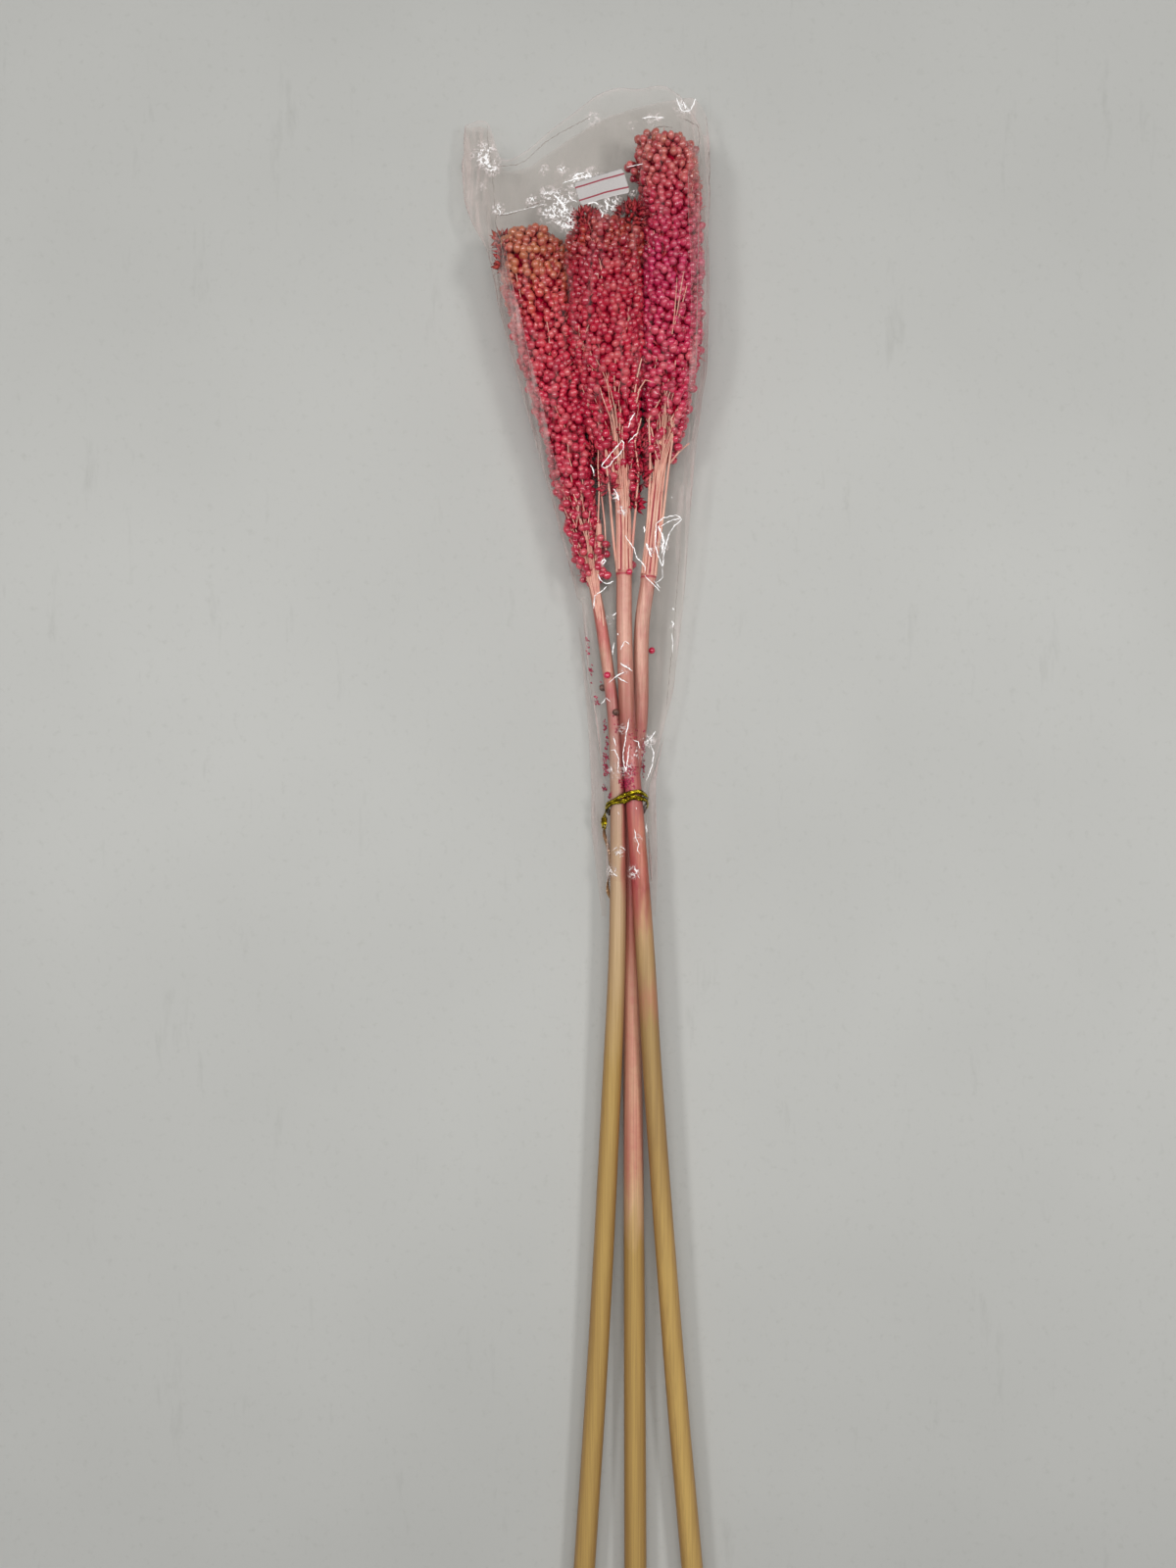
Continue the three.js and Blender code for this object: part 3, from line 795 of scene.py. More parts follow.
def fibre_group():
    """Fine lengthwise fibres of a plant stem: a streak mask and a height."""
    tree, given, made = new_tree("Lengthwise fibres", "ShaderNodeTree", {
        "Fineness": 900.0, "Stretch": 0.03,
    }, {"Streaks": "Float", "Height": "Float"})
    shape = result(tree, "ShaderNodeCombineXYZ", {0: 1.0, 1: given["Stretch"], 2: 1.0})
    place = result(tree, "ShaderNodeVectorMath", {0: object_point(tree), 1: shape}, operation="MULTIPLY")
    fine = noise_value(tree, place, given["Fineness"], 3.0, 0.6)
    broad = noise_value(tree, place, times(tree, given["Fineness"], 0.33))
    feed(tree, made["Streaks"], stretched(tree, broad, 0.42, 0.66))
    feed(tree, made["Height"], math_node(tree, "ADD", fine, times(tree, broad, 0.6)))
    return tree


def fibres_of(tree, fineness, stretch):
    return use_group(tree, "Lengthwise fibres", fibre_group, {"Fineness": fineness, "Stretch": stretch})


def dye_group():
    """Blotchy dye: a soft patchy mask."""
    tree, given, made = new_tree("Blotchy dye", "ShaderNodeTree", {"Size": 90.0}, {"Blotches": "Float"})
    patchy = noise_value(tree, object_point(tree), given["Size"], 4.0, 0.6)
    feed(tree, made["Blotches"], stretched(tree, patchy, 0.38, 0.68))
    return tree


def blotches_of(tree, size):
    return use_group(tree, "Blotchy dye", dye_group, {"Size": size})["Blotches"]


def along_share(tree, low, high, wander=0.0):
    """Share of the way from low to high along the bunch, in metres, with an uneven front."""
    y = add_node(tree, "ShaderNodeSeparateXYZ", {0: object_point(tree)}).outputs["Y"]
    if wander:
        shift = noise_value(tree, object_place(tree, (1.0, 0.18, 1.0)), 330.0)
        y = math_node(tree, "ADD", y, stretched(tree, shift, 0.3, 0.7, -wander, wander))
    return stretched(tree, y, low, high)


def stops_along(rows, low, high):
    """Colour stops from 0 to 1, from rows of places along the bunch and what the colour there is."""
    return [
        ((y - low) / (high - low), picked(*tone) if len(tone) == 1 else shade(*tone))
        for y, *tone in rows
    ]


# Dye along each stem: metres from the middle of the bunch, and the colour there or the name of it.
STEM_COLOURS = {
    "left": [
        (-0.07, "straw"), (-0.03, 202, 170, 122), (-0.005, 208, 176, 134), (0.03, 206, 174, 140),
        (0.055, 206, 170, 148), (0.075, 210, 182, 164), (0.09, 198, 146, 134), (0.1, 206, 130, 124),
        (0.108, 228, 176, 156), (0.116, 236, 192, 168), (0.125, 222, 130, 124), (0.134, 228, 146, 134),
        (0.142, 238, 186, 164), (0.155, 230, 176, 158), (0.2, "peach"),
    ],
    "centre": [
        (-0.155, 206, 170, 100), (-0.1, 182, 148, 90), (-0.05, 178, 146, 92), (-0.037, 194, 138, 104),
        (-0.024, 192, 158, 108), (-0.006, 204, 166, 118), (0.003, 202, 148, 112), (0.011, 174, 90, 72),
        (0.022, 204, 124, 102), (0.037, 222, 150, 124), (0.05, 196, 108, 104), (0.07, 206, 122, 118),
        (0.085, 174, 98, 88), (0.1, 198, 134, 118), (0.125, 242, 192, 172), (0.15, 240, 186, 168),
        (0.2, "peach"),
    ],
    "right": [
        (-0.15, "straw"), (-0.13, 222, 184, 140), (-0.105, 222, 160, 134), (-0.08, 226, 174, 144),
        (-0.03, 214, 160, 132), (-0.013, 190, 126, 98), (0.0, 172, 98, 80), (0.013, 158, 82, 70),
        (0.035, 176, 104, 94), (0.07, 208, 138, 130), (0.088, 202, 134, 120), (0.11, 234, 184, 164),
        (0.14, 242, 198, 178), (0.2, "dye"),
    ],
}

# Colours along each head, in the same way.
SEED_COLOURS = {
    "left": [
        (0.15, 206, 24, 72), (0.23, "crimson"), (0.262, 216, 52, 72), (0.274, 210, 78, 70), (0.285, "coral"),
        (0.31, 190, 114, 70),
    ],
    "centre": [
        (0.18, 214, 6, 74), (0.25, 206, 0, 58), (0.282, 186, 0, 46), (0.293, 152, 8, 26), (0.3, 182, 66, 42),
        (0.312, 118, 6, 14),
    ],
    "right": [
        (0.2, 216, 42, 84), (0.235, 214, 28, 86), (0.29, "magenta"), (0.312, 206, 40, 78),
        (0.326, 202, 82, 86), (0.35, 190, 108, 86),
    ],
}


def stalk_material(side):
    """Dry cane with fine lengthwise fibres, dye that has run down from the head, and painted shade down its
    two flanks.
    """
    material, tree, shader = new_material("stalk_" + side, IOR=1.45)
    low, high = -0.16, 0.21
    base = ramp(tree, along_share(tree, low, high, 0.005), stops_along(STEM_COLOURS[side], low, high))
    fibres = fibres_of(tree, 1500.0, 0.012)
    start = {"left": 0.055, "centre": -0.01, "right": -0.14}[side]
    dyed = along_share(tree, start, start + 0.03, 0.01)
    colour = mixed(tree, times(tree, fibres["Streaks"], times(tree, dyed, 0.34)), base, shade(196, 78, 92))
    patches = times(tree, blotches_of(tree, 260.0), times(tree, dyed, 0.6 if side == "left" else 0.3))
    colour = mixed(tree, patches, colour, shade(206, 96, 104))
    # Painted shade: the stem darkens towards its two flanks, as seen from above.
    deep = mixed(tree, 0.6, base, shade(150, 66, 44), "MULTIPLY")
    colour = mixed(tree, times(tree, attribute(tree, "flank"), 0.75), colour, deep)
    dark = times(tree, stretched(tree, fibres["Height"], 0.62, 0.98), 0.3)
    colour = mixed(tree, dark, colour, shade(118, 84, 50))
    colour = mixed(tree, times(tree, attribute(tree, "stain"), 0.55), colour, shade(178, 58, 72))
    tints = {"groove": (176, 60, 74), "ring_mark": (180, 40, 66), "cut_face": (226, 208, 170)}
    for name, tint in tints.items():
        colour = mixed(tree, attribute(tree, name), colour, shade(*tint))
    painted(tree, shader, colour, fibres["Height"], 0.4, 0.0003)
    feed(tree, shader.inputs["Roughness"], stretched(tree, fibres["Height"], 0.4, 1.1, 0.34, 0.52))
    return material


def branch_material():
    """Pale branches with crimson dye caught along them."""
    material, tree, shader = new_material("branch_threads", Roughness=0.5)
    fibres = fibres_of(tree, 1500.0, 0.05)
    dye = times(tree, math_node(tree, "MAXIMUM", fibres["Streaks"], blotches_of(tree, 200.0)), 0.38)
    colour = mixed(tree, dye, shade(242, 196, 174), shade(200, 58, 80))
    painted(tree, shader, colour, fibres["Height"], 0.3, 0.0002)
    return material


def seed_material(side, husk=False):
    """Waxy dyed seeds, each a little different, with painted shade at each seed's foot and on the seeds set
    deep in the head.
    """
    material, tree, shader = new_material(
        ("husk_" if husk else "seed_") + side, Roughness=0.5 if husk else 0.3, IOR=1.5,
        Specular_IOR_Level=0.35 if husk else 0.5, Coat_Weight=0.0 if husk else 1.0, Coat_Roughness=0.09,
        Coat_IOR=1.65,
    )
    low, high = 0.15, 0.355
    colour = ramp(tree, along_share(tree, low, high, 0.012), stops_along(SEED_COLOURS[side], low, high))
    if husk:
        colour = mixed(tree, 0.55, colour, shade(172, 10, 40))
    # What a tint follows, the values where it has none and all of its strength, that strength, and the tint
    tints = (
        ("tone", 0.6, 1.0, 0.4, shade(236, 132, 132)),
        ("tone", 0.4, 0.0, 0.6, shade(172, 4, 58)),
        # Painted shade: the foot of each seed, where it sits among the others, is darkened.
        ("rise", 0.62, 0.1, 0.4 if husk else 0.8, picked("dark_red")),
        # Painted shade: seeds sunk deeper into the head are darkened.
        ("depth", 0.5, 1.0, 0.5, shade(152, 0, 50)),
    )
    for name, none, full, most, tint in tints:
        colour = mixed(tree, stretched(tree, attribute(tree, name), none, full, 0.0, most), colour, tint)
    blotches = blotches_of(tree, 800.0)
    colour = mixed(tree, times(tree, blotches, 0.1), colour, shade(234, 128, 130))
    painted(tree, shader, colour, blotches, 0.12, 0.0003)
    return material


def glume_material():
    """Thin dry bristles between the seeds, pale with a pink cast."""
    material, tree, shader = new_material("glumes", Roughness=0.5)
    pale = stretched(tree, attribute(tree, "tone"), 0.2, 1.0)
    colour = mixed(tree, pale, shade(196, 52, 80), shade(238, 150, 140))
    painted(tree, shader, colour, fibres_of(tree, 1800.0, 0.2)["Height"], 0.2, 0.0002)
    return material


def blotched_material(name, size, dark, light, strength, distance, **constants):
    """Blotches of two colours, with a relief to match."""
    material, tree, shader = new_material(name, **constants)
    blotches = blotches_of(tree, size)
    painted(tree, shader, mixed(tree, blotches, shade(*dark), shade(*light)), blotches, strength, distance)
    return material


def depths_material():
    """The dark inside of a head: husk dust, and stubs of the branches."""
    return blotched_material(
        "head_depths", 520.0, (156, 0, 38), (216, 8, 58), 0.8, 0.001, Roughness=1.0, Specular_IOR_Level=0.1,
    )


def fleck_material():
    """Flakes of husk soaked in magenta dye."""
    return blotched_material("dye_flecks", 1300.0, (124, 0, 44), (226, 30, 98), 0.4, 0.0003, Roughness=0.35)


def dark_seed_material():
    """Undyed seeds that fell out, brown with a dull skin."""
    return blotched_material("dark_seeds", 800.0, (78, 52, 44), (142, 104, 92), 0.3, 0.0003, Roughness=0.5)


def painted_glint_group():
    """Painted glints on crumpled film: short curved white lines and small flat white dabs."""
    tree, given, made = new_tree("Crazed film", "ShaderNodeTree", {
        "Fineness": 520.0, "Line width": 0.05,
    }, {"Glints": "Float", "Height": "Float"})
    place, fineness, width = object_point(tree), given["Fineness"], given["Line width"]
    bends = noise_value(tree, place, fineness, 1.5)
    off = math_node(tree, "ABSOLUTE", math_node(tree, "SUBTRACT", bends, 0.5))
    line = stretched(tree, off, width, times(tree, width, 0.4))
    broken = stretched(tree, noise_value(tree, place, times(tree, fineness, 0.62)), 0.43, 0.52)
    dabs = stretched(tree, noise_value(tree, place, times(tree, fineness, 1.3), 1.0), 0.6, 0.67)
    feed(tree, made["Glints"], math_node(tree, "MAXIMUM", times(tree, line, broken), dabs))
    feed(tree, made["Height"], bends)
    return tree


def film_material():
    """Clear film: hazy where it is seen edge on and along welds and folds, with painted white glints, glowing
    faintly, where glare is painted.
    """
    material, tree, shader = new_material("clear_film", Roughness=0.2, Emission_Strength=0.15)
    edge = add_node(tree, "ShaderNodeLayerWeight", {"Blend": 0.3}).outputs["Facing"]
    folds = noise_value(tree, object_place(tree, (1.0, 0.07, 1.0)), 340.0, 3.0)
    glint_pattern = use_group(tree, "Crazed film", painted_glint_group, {"Fineness": 520.0, "Line width": 0.055})
    glare = attribute(tree, "glare")
    glint_white = times(tree, glint_pattern["Glints"], stretched(tree, glare, 0.08, 0.55))
    steep = times(tree, math_node(tree, "POWER", edge, 2.5), 0.24)
    milky = stretched(tree, folds, 0.54, 0.74, 0.0, 0.04)
    total = math_node(tree, "ADD", steep, milky)
    for haze in (
        times(tree, attribute(tree, "side"), stretched(tree, folds, 0.44, 0.66, 0.01, 0.22)),
        times(tree, attribute(tree, "weld"), 0.5),
        times(tree, attribute(tree, "veil"), stretched(tree, folds, 0.4, 0.7, 0.05, 0.15)),
        times(tree, glare, 0.06),
        glint_white,
    ):
        total = math_node(tree, "ADD", total, haze, clamp=True)
    colour = mixed(tree, glint_white, shade(242, 224, 220), shade(255, 255, 255))
    painted(tree, shader, colour, math_node(tree, "ADD", folds, glint_pattern["Height"]), 0.5, 0.0016)
    # The painted glints also glow a little.
    feed(tree, shader.inputs["Emission Color"], mixed(tree, glint_white, shade(0, 0, 0), shade(255, 255, 255)))
    see_through(tree, shader, total, (0.992, 0.984, 0.979, 1.0))
    return material


def crease_material(name, low, high, dark, light, glow=0.0):
    """A sharp crease or edge of the film, denser in some places than in others; with a glow, a painted glint.
    """
    material, tree, shader = new_material(name, Roughness=0.25, Emission_Strength=glow)
    patchy = noise_value(tree, object_place(tree), 900.0)
    feed(tree, shader.inputs["Base Color"], mixed(tree, patchy, shade(*dark), shade(*light)))
    see_through(tree, shader, stretched(tree, patchy, 0.3, 0.55, low, high))
    return material


def foil_material():
    """Crinkled gold foil, worn to brown at the tail."""
    material, tree, shader = new_material("gold_foil", Roughness=0.2)
    place = object_place(tree)
    creases = result(tree, "ShaderNodeTexVoronoi", {"Vector": place, "Scale": 900.0})
    dull = stretched(tree, along_share(tree, 0.036, 0.041), 0.0, 1.0, 1.0, 0.0)
    patchy = stretched(tree, noise_value(tree, place, 500.0, 3.0), 0.42, 0.6, 0.0, 0.85)
    gold = mixed(tree, patchy, picked("foil"), shade(112, 80, 8))
    # Painted shade along the edges of each winding where the two meet; the twisted strands and tail are
    # darker along their first part.
    lined = mixed(tree, attribute(tree, "border"), gold, shade(40, 24, 4))
    worn = mixed(tree, times(tree, dull, 0.9), lined, shade(182, 142, 110))
    painted(tree, shader, worn, creases, 0.55, 0.0006)
    feed(tree, shader.inputs["Metallic"], stretched(tree, dull, 0.0, 1.0, 1.0, 0.35))
    return material


def label_material():
    """Blank price-gun paper with two thin red lines."""
    material, tree, shader = new_material("blank_label", Roughness=0.55)
    paper_place = tree.nodes.new("ShaderNodeTexCoord").outputs["UV"]
    across = add_node(tree, "ShaderNodeSeparateXYZ", {0: paper_place}).outputs["Y"]
    off_middle = math_node(tree, "ABSOLUTE", math_node(tree, "SUBTRACT", across, 0.5))
    off_line = math_node(tree, "ABSOLUTE", math_node(tree, "SUBTRACT", off_middle, 0.275))
    line = times(tree, stretched(tree, off_line, 0.026, 0.04, 1.0, 0.0), 0.9)
    fibres = noise_value(tree, object_place(tree), 1400.0, 3.0)
    paper = mixed(tree, fibres, shade(216, 210, 207), shade(196, 191, 190))
    painted(tree, shader, mixed(tree, line, paper, shade(160, 12, 50)), fibres, 0.1, 0.0002)
    return material


def table_material():
    """Pale painted table with faint grain and scuffs."""
    material, tree, shader = new_material("pale_table", Roughness=0.7)
    place = object_place(tree)
    grain = noise_value(tree, place, 260.0, 5.0, 0.7)
    broad = noise_value(tree, place, 5.0, 3.0)
    scuffs = noise_value(tree, object_place(tree, (1.0, 0.2, 1.0)), 60.0, 5.0, 0.7)
    base = mixed(tree, stretched(tree, broad, 0.3, 0.7), shade(190, 190, 186), shade(198, 198, 194))
    speckled = mixed(tree, stretched(tree, grain, 0.56, 0.8, 0.0, 0.45), base, shade(170, 170, 164))
    worn = mixed(tree, stretched(tree, scuffs, 0.62, 0.76, 0.0, 0.26), speckled, shade(150, 150, 144))
    painted(tree, shader, worn, grain, 0.1, 0.0005)
    return material


# Stems


def stalk_places(stem):
    """Places of the rings along one stem, from its cut end to its end in the head, denser at its ring."""
    cut, end = stem["route"][0][0], rachis_end(stem)
    steps = [cut + 0.5 + k * 2.5 for k in range(int((end - cut - 1) / 2.5))]
    near_ring = [stem["ring"] + 0.4 * k for k in range(-8, 9)]
    return sorted([y for y in steps if abs(y - stem["ring"]) > 3.6] + near_ring + [end])


def groove_share(stem, y, angle):
    """How crimson a stem is between the parallel branches above its ring."""
    return ease(y, stem["ring"], stem["ring"] + 2 + 3 * sin(2 * angle + stem["turn"]) ** 2)


def stain_share(stem, y, angle):
    """How much dye has run down one side of a stem."""
    stained = stem.get("stained")
    if stained is None:
        return 0.0
    wander = 0.25 * sin(y / 7.0) + 0.15 * sin(y / 2.9)
    facing = cos(angle - stained["facing"]) + wander * 0.5
    low, high = stained["low"], stained["high"]
    return ease(facing, 0.15, 0.6) * ease(y, low - 20, low) * (1 - ease(y, high, high + 20))


def stalk_radius(stem, y, angle):
    """Radius of a stem with its fine ribs, which deepen towards the head."""
    _, _, radius = stem_at(stem, y)
    turn = stem["turn"]
    ribs = 0.5 * sin(17 * angle + turn + 0.004 * y) + 0.3 * sin(29 * angle + 2 * turn)
    oval = 0.5 * sin(2 * angle + 0.006 * y + turn)
    deep = 0.05 + 0.08 * ease(y, stem["ring"] - 60, stem["ring"] + 10)
    radius *= 1 - 0.12 * ease(y, stem["ring"] + 1, stem["ring"] + 8)
    return radius * (1 + 0.012 * oval) - deep * (0.8 - ribs) + 0.02


def stalk(side):
    """One stem, and what each of its points says to the material."""
    stem = STEMS[side]
    cut, end = stem["route"][0][0], rachis_end(stem)
    # Each ring's place, its share of the radius, how far it sinks in, how crimson it is and whether it is cut
    rows = [
        (cut, share, drop, 0.0, 1.0)
        for share, drop in ((0.25, 0.75), (0.7, 0.6), (0.84, 0.5), (0.87, 0.08), (0.95, 0.0))
    ]
    for y in stalk_places(stem):
        crimson = exp(-(((y - stem["ring"]) / 0.5) ** 2))
        rows.append((y, 1.0 if y < end else 0.8, 0.0, crimson, 0.0))
    rings, marks = [], []
    for y, share, drop, crimson, face in rows:
        x, z, _ = stem_at(stem, y)
        swell = 0.25 * exp(-(((y - stem["ring"]) / 0.9) ** 2))
        ring = []
        for angle in round_angles(64):
            radius = (stalk_radius(stem, y, angle) + swell) * share
            ring.append(round_point(x, y + drop, z, radius, angle))
            # How far round towards a flank each point is, for the painted shade there.
            flank = 0.0 if face else cos(angle) ** 2
            marks.append((crimson, face, flank, groove_share(stem, y, angle), stain_share(stem, y, angle)))
        rings.append(ring)
    marks += [(0.0, 1.0, 0.0, 0.0, 0.0), (0.0, 0.0, 0.0, 0.0, 0.0)]
    piece = new_piece("stalk_" + side, *lofted(rings))
    for name, values in zip(("ring_mark", "cut_face", "flank", "groove", "stain"), zip(*marks)):
        set_values(piece.data, name, values)
    return finish_piece(piece, stalk_material(side), ["stem_" + side])


# Heads


def head_core(side):
    """The dark inside of one head."""
    rings, _ = head_shell(side, 3.3, 60, 40, 1.4)
    piece = new_piece("head_core_" + side, *lofted(rings))
    return finish_piece(piece, depths_material(), ["seed_head_" + side])


def scattered(name, shell, shapes, material, **values):
    """Seeds or husks over one shell of a head, as a piece."""
    rings, cover = shell
    piece = new_piece(name, *lofted(rings))
    set_values(piece.data, "cover", cover + [cover[0], 1.0])
    inputs = {label.replace("_", " "): value for label, value in values.items()}
    inputs.update({"Shape A": shapes[0], "Shape B": shapes[1], "Shape C": shapes[2], "Material": material})
    grown(piece, shared_tree("Scatter over a head", scatter_tree), inputs)
    return finish_piece(pressed_on_table(piece), material)


def blob(x, y, z, radii):
    """A small shell for a tuft of husks or seeds, fully covered."""
    wide, long, high = radii
    rings = []
    for r in range(1, 8):
        lift = pi * r / 8
        rings.append([
            Vector((x + wide * sin(lift) * cos(a), y - long * cos(lift),
                    z + high * sin(lift) * sin(a)))
            for a in round_angles(12)
        ])
    return rings, [1.0 for ring in rings for _ in ring]


# Tufts at the tips: which head, x, y, z, radii of the shell that they stand on, and whether they are husks.
TUFTS = [
    ("centre", -0.6, 250.6, 27.8, (5.8, 5.4, 3.4), True),
    ("centre", 18.6, 256, 22.6, (4.6, 5.2, 4.6), True),
    ("centre", 22.4, 156, 18, (2.8, 7, 3), True),
    ("centre", 23.2, 144.5, 17, (2, 4.6, 2.4), True),
    ("centre", 20.4, 133, 15.5, (1.5, 3.2, 2), True),
    ("centre", 8.6, 140.5, 17, (1.8, 4.2, 2.2), True),
    ("right", 22.2, 281.5, 15.5, (3, 2.8, 2.6), False),
    ("right", 27.2, 291.6, 17.5, (3, 2.6, 3), False),
    ("right", 39.8, 290, 17, (2.8, 2.4, 2.8), False),
    ("left", -38.4, 250, 15.4, (1.4, 1.8, 1.6), True),
    ("left", -14.4, 246, 16.6, (2.2, 2.2, 2.2), False),
    ("left", 5.3, 113.5, 14.4, (2.4, 3, 2.2), False),
    ("left", 2.8, 153, 14, (2.4, 8, 3), True),
    ("left", 1.3, 102.8, 13.8, (1.3, 1.5, 1.3), True),
    ("left", -36.9, 237.5, 24.6, (1.2, 7, 1.6), True),
]


# Branches


def branch_line(stem, angle, reach, rng, fan=0.0, stout=False):
    """One branch: up along the stem, then out into the head. A stout one starts at the stem's ring."""
    leave = stem["head"]["base"] + rng.uniform(-14, 10)
    start = stem["ring"] + rng.uniform(0.2, 2) if stout else leave - rng.uniform(2, 12)
    end = leave + reach
    wave, phase = rng.uniform(0.05, 0.16), rng.uniform(0, 6.28)
    sunk = rng.uniform(0.4, 3.6)
    thick = sizes().branch_radius / MM * (rng.uniform(1.5, 1.9) if stout else rng.uniform(0.7, 1.2))
    hug = -0.3 if stout else 0.3
    line = []
    steps = 26
    for k in range(steps + 1):
        share = k / steps
        y = start + (end - start) * share
        x, z, radius = stem_at(stem, y)
        _, _, head = head_at(stem, min(max(y, stem["head"]["base"] + 0.1), stem["head"]["tip"] - 1))
        spread = ease(y, leave, end + 6) ** 1.2
        away = radius + hug + spread * max(head - sunk - radius, 0) + 0.4 * sin(3 * share + phase) * share
        away -= 0.0 if stout else 1.1 * (1 - ease(share, 0.0, 0.25))
        turned = angle + wave * sin(9 * share + phase) * (0.3 + share) + fan * ease(y, leave, end)
        point = round_point(x, y, z, away, turned)
        point.z = max(point.z, 1.2)
        line.append((point, thick * (1.1 - 0.65 * share)))
    return line


def stray_line(stem, rng):
    """A thin branch that shows between the seeds."""
    head = stem["head"]
    y = rng.uniform(head["base"] + 12, head["tip"] - 26)
    length = rng.uniform(6, 17)
    angle = rng.uniform(0.25, pi - 0.25) if rng.random() < 0.75 else rng.uniform(0, 2 * pi)
    drift = rng.uniform(-0.34, 0.34)
    rise = rng.uniform(-2.4, -0.4)
    line = []
    for k in range(13):
        share = k / 12
        along = y + length * share
        x, z, _ = stem_at(stem, along)
        turned = angle + drift * share + 0.03 * sin(5 * share + drift * 40)
        reach = pressed_radius(stem, along, turned, lumps(stem, along, turned))
        away = max(reach - 1.2 + rise * (1 - share), 1.0)
        line.append((round_point(x, along, z, away, turned), 0.26 - 0.1 * share))
    return line


# Strands that stand out on their own, as x, y, z and radius. The first one is a thick stub.
LONG_STRANDS = {
    "left": [
        [(5.1, 112, 15.4, 1), (5, 117, 16.4, 1.25), (4.8, 123, 16.8, 1.25)],
        [(2.2, 100, 14.4, 0.4), (4.2, 114, 15.6, 0.4), (4.6, 128, 17, 0.4), (5, 138, 18, 0.4),
         (4.4, 148, 19, 0.32), (4.6, 156, 19.6, 0.26)],
        [(2, 92, 13.6, 0.4), (5.4, 102, 14, 0.4), (8, 112, 14, 0.4), (7.4, 124, 15.6, 0.4),
         (6, 136, 17, 0.36), (5.6, 146, 18.2, 0.3)],
        [(-7.8, 127, 20, 0.4), (-5.2, 121, 19, 0.42), (-4.2, 130, 20.4, 0.4), (-7.6, 139, 21.4, 0.34)],
    ],
    "centre": [
        [(13, 103, 15, 0.6), (11.8, 112, 15.4, 0.6), (10.6, 124, 16.4, 0.6), (9.6, 136, 18, 0.5),
         (8.2, 148, 20, 0.4), (7.6, 156, 21, 0.3)],
        [(19, 104, 15, 0.6), (20, 116, 15.4, 0.6), (21.2, 130, 17, 0.55), (22.4, 146, 20, 0.45),
         (20.6, 158, 22.4, 0.4), (23.4, 168, 23.6, 0.26)],
        [(20.6, 172, 24.6, 0.4), (22.4, 180, 25.6, 0.4), (25, 184, 26, 0.32), (29.6, 183, 25.4, 0.26)],
        [(20, 176, 24.6, 0.4), (21.6, 186, 26.2, 0.36), (23.4, 193, 27.2, 0.28)],
    ],
    "right": [
        [(25, 106, 13.6, 0.6), (26.8, 128, 16, 0.6), (27.6, 146, 18, 0.6), (27.2, 158, 20.4, 0.5),
         (26.8, 168, 22.4, 0.4), (31.6, 176, 23.8, 0.26)],
        [(30.4, 105, 13.6, 0.6), (33.6, 128, 15.8, 0.6), (35.8, 148, 18, 0.55), (37.4, 160, 20.6, 0.5),
         (36.6, 168, 22.4, 0.4), (40.8, 175, 22.8, 0.26)],
        [(36.4, 150, 17.4, 0.5), (40.4, 155, 17.4, 0.42), (45, 159, 16.8, 0.34)],
        [(37.6, 206, 28.6, 0.24), (39, 214, 30, 0.22), (40.2, 222, 30.2, 0.2), (41.6, 230, 29.6, 0.15)],
        [(36.6, 203, 28.6, 0.24), (37.6, 212, 30, 0.2), (38.2, 220, 30.2, 0.18), (38.6, 227, 29.8, 0.14)],
        [(39.4, 210, 28.4, 0.24), (41.2, 217, 29.4, 0.22), (43, 224, 28.6, 0.18)],
    ],
}


def branches(side, number):
    """A head's branches: stout ones round the stem, a fan over its bare foot, strays between the seeds."""
    stem = STEMS[side]
    rng = random.Random(71 + number)
    count = 11
    lines = []
    for k in range(count):
        angle = (k + rng.uniform(-0.12, 0.12)) / count * 2 * pi
        lines.append(branch_line(stem, angle, rng.uniform(20, 44), rng, stout=True))
    half = stem["bare"]["half"]
    reach = stem["bare"]["until"] - stem["head"]["base"]
    for k in range(30):
        lean = rng.uniform(-1.0, 1.0)
        fan = 0.5 * lean + rng.uniform(-0.35, 0.35)
        lines.append(branch_line(stem, pi / 2 + lean * half, reach * rng.uniform(0.35, 1.25), rng, fan))
    lines += [stray_line(stem, rng) for _ in range(12)]
    lines += [[(Vector(point), radius) for *point, radius in line] for line in LONG_STRANDS[side]]
    piece = threads("branches_" + side, lines, 7, branch_material())
    return finish_piece(piece)


# Sleeve


def wrapped_circles(y):
    """Circles that the film is drawn round at one place along the bunch: x, z, radius."""
    circles = []
    for stem in STEMS.values():
        x, z, radius = stem_at(stem, y)
        head = max(head_at(stem, y - back)[2] * (1 - max(back, 0) / 62) for back in range(-8, 57, 4))
        rise = ease(y, stem["ring"], stem["ring"] + 10)
        feet = 0.9 * rise * (1 - ease(y, stem["head"]["base"] + 10, rachis_end(stem)))
        room = FILM["head_room"] if head > 0 else FILM["room"] + feet
        circles.append((x, z, max(head, radius) + room + FILM["wall"]))
    for weld in (LEFT_WELD, RIGHT_WELD):
        circles.append((*smooth(weld, y), WELD_RADIUS))
    if y > MOUTH["from"]:
        share = (y - MOUTH["from"]) / (MOUTH["to"] - MOUTH["from"])
        radius = MOUTH["radius_from"] + share * (MOUTH["radius_to"] - MOUTH["radius_from"])
        circles.append((MOUTH["x"], radius + 0.2, radius))
    return circles


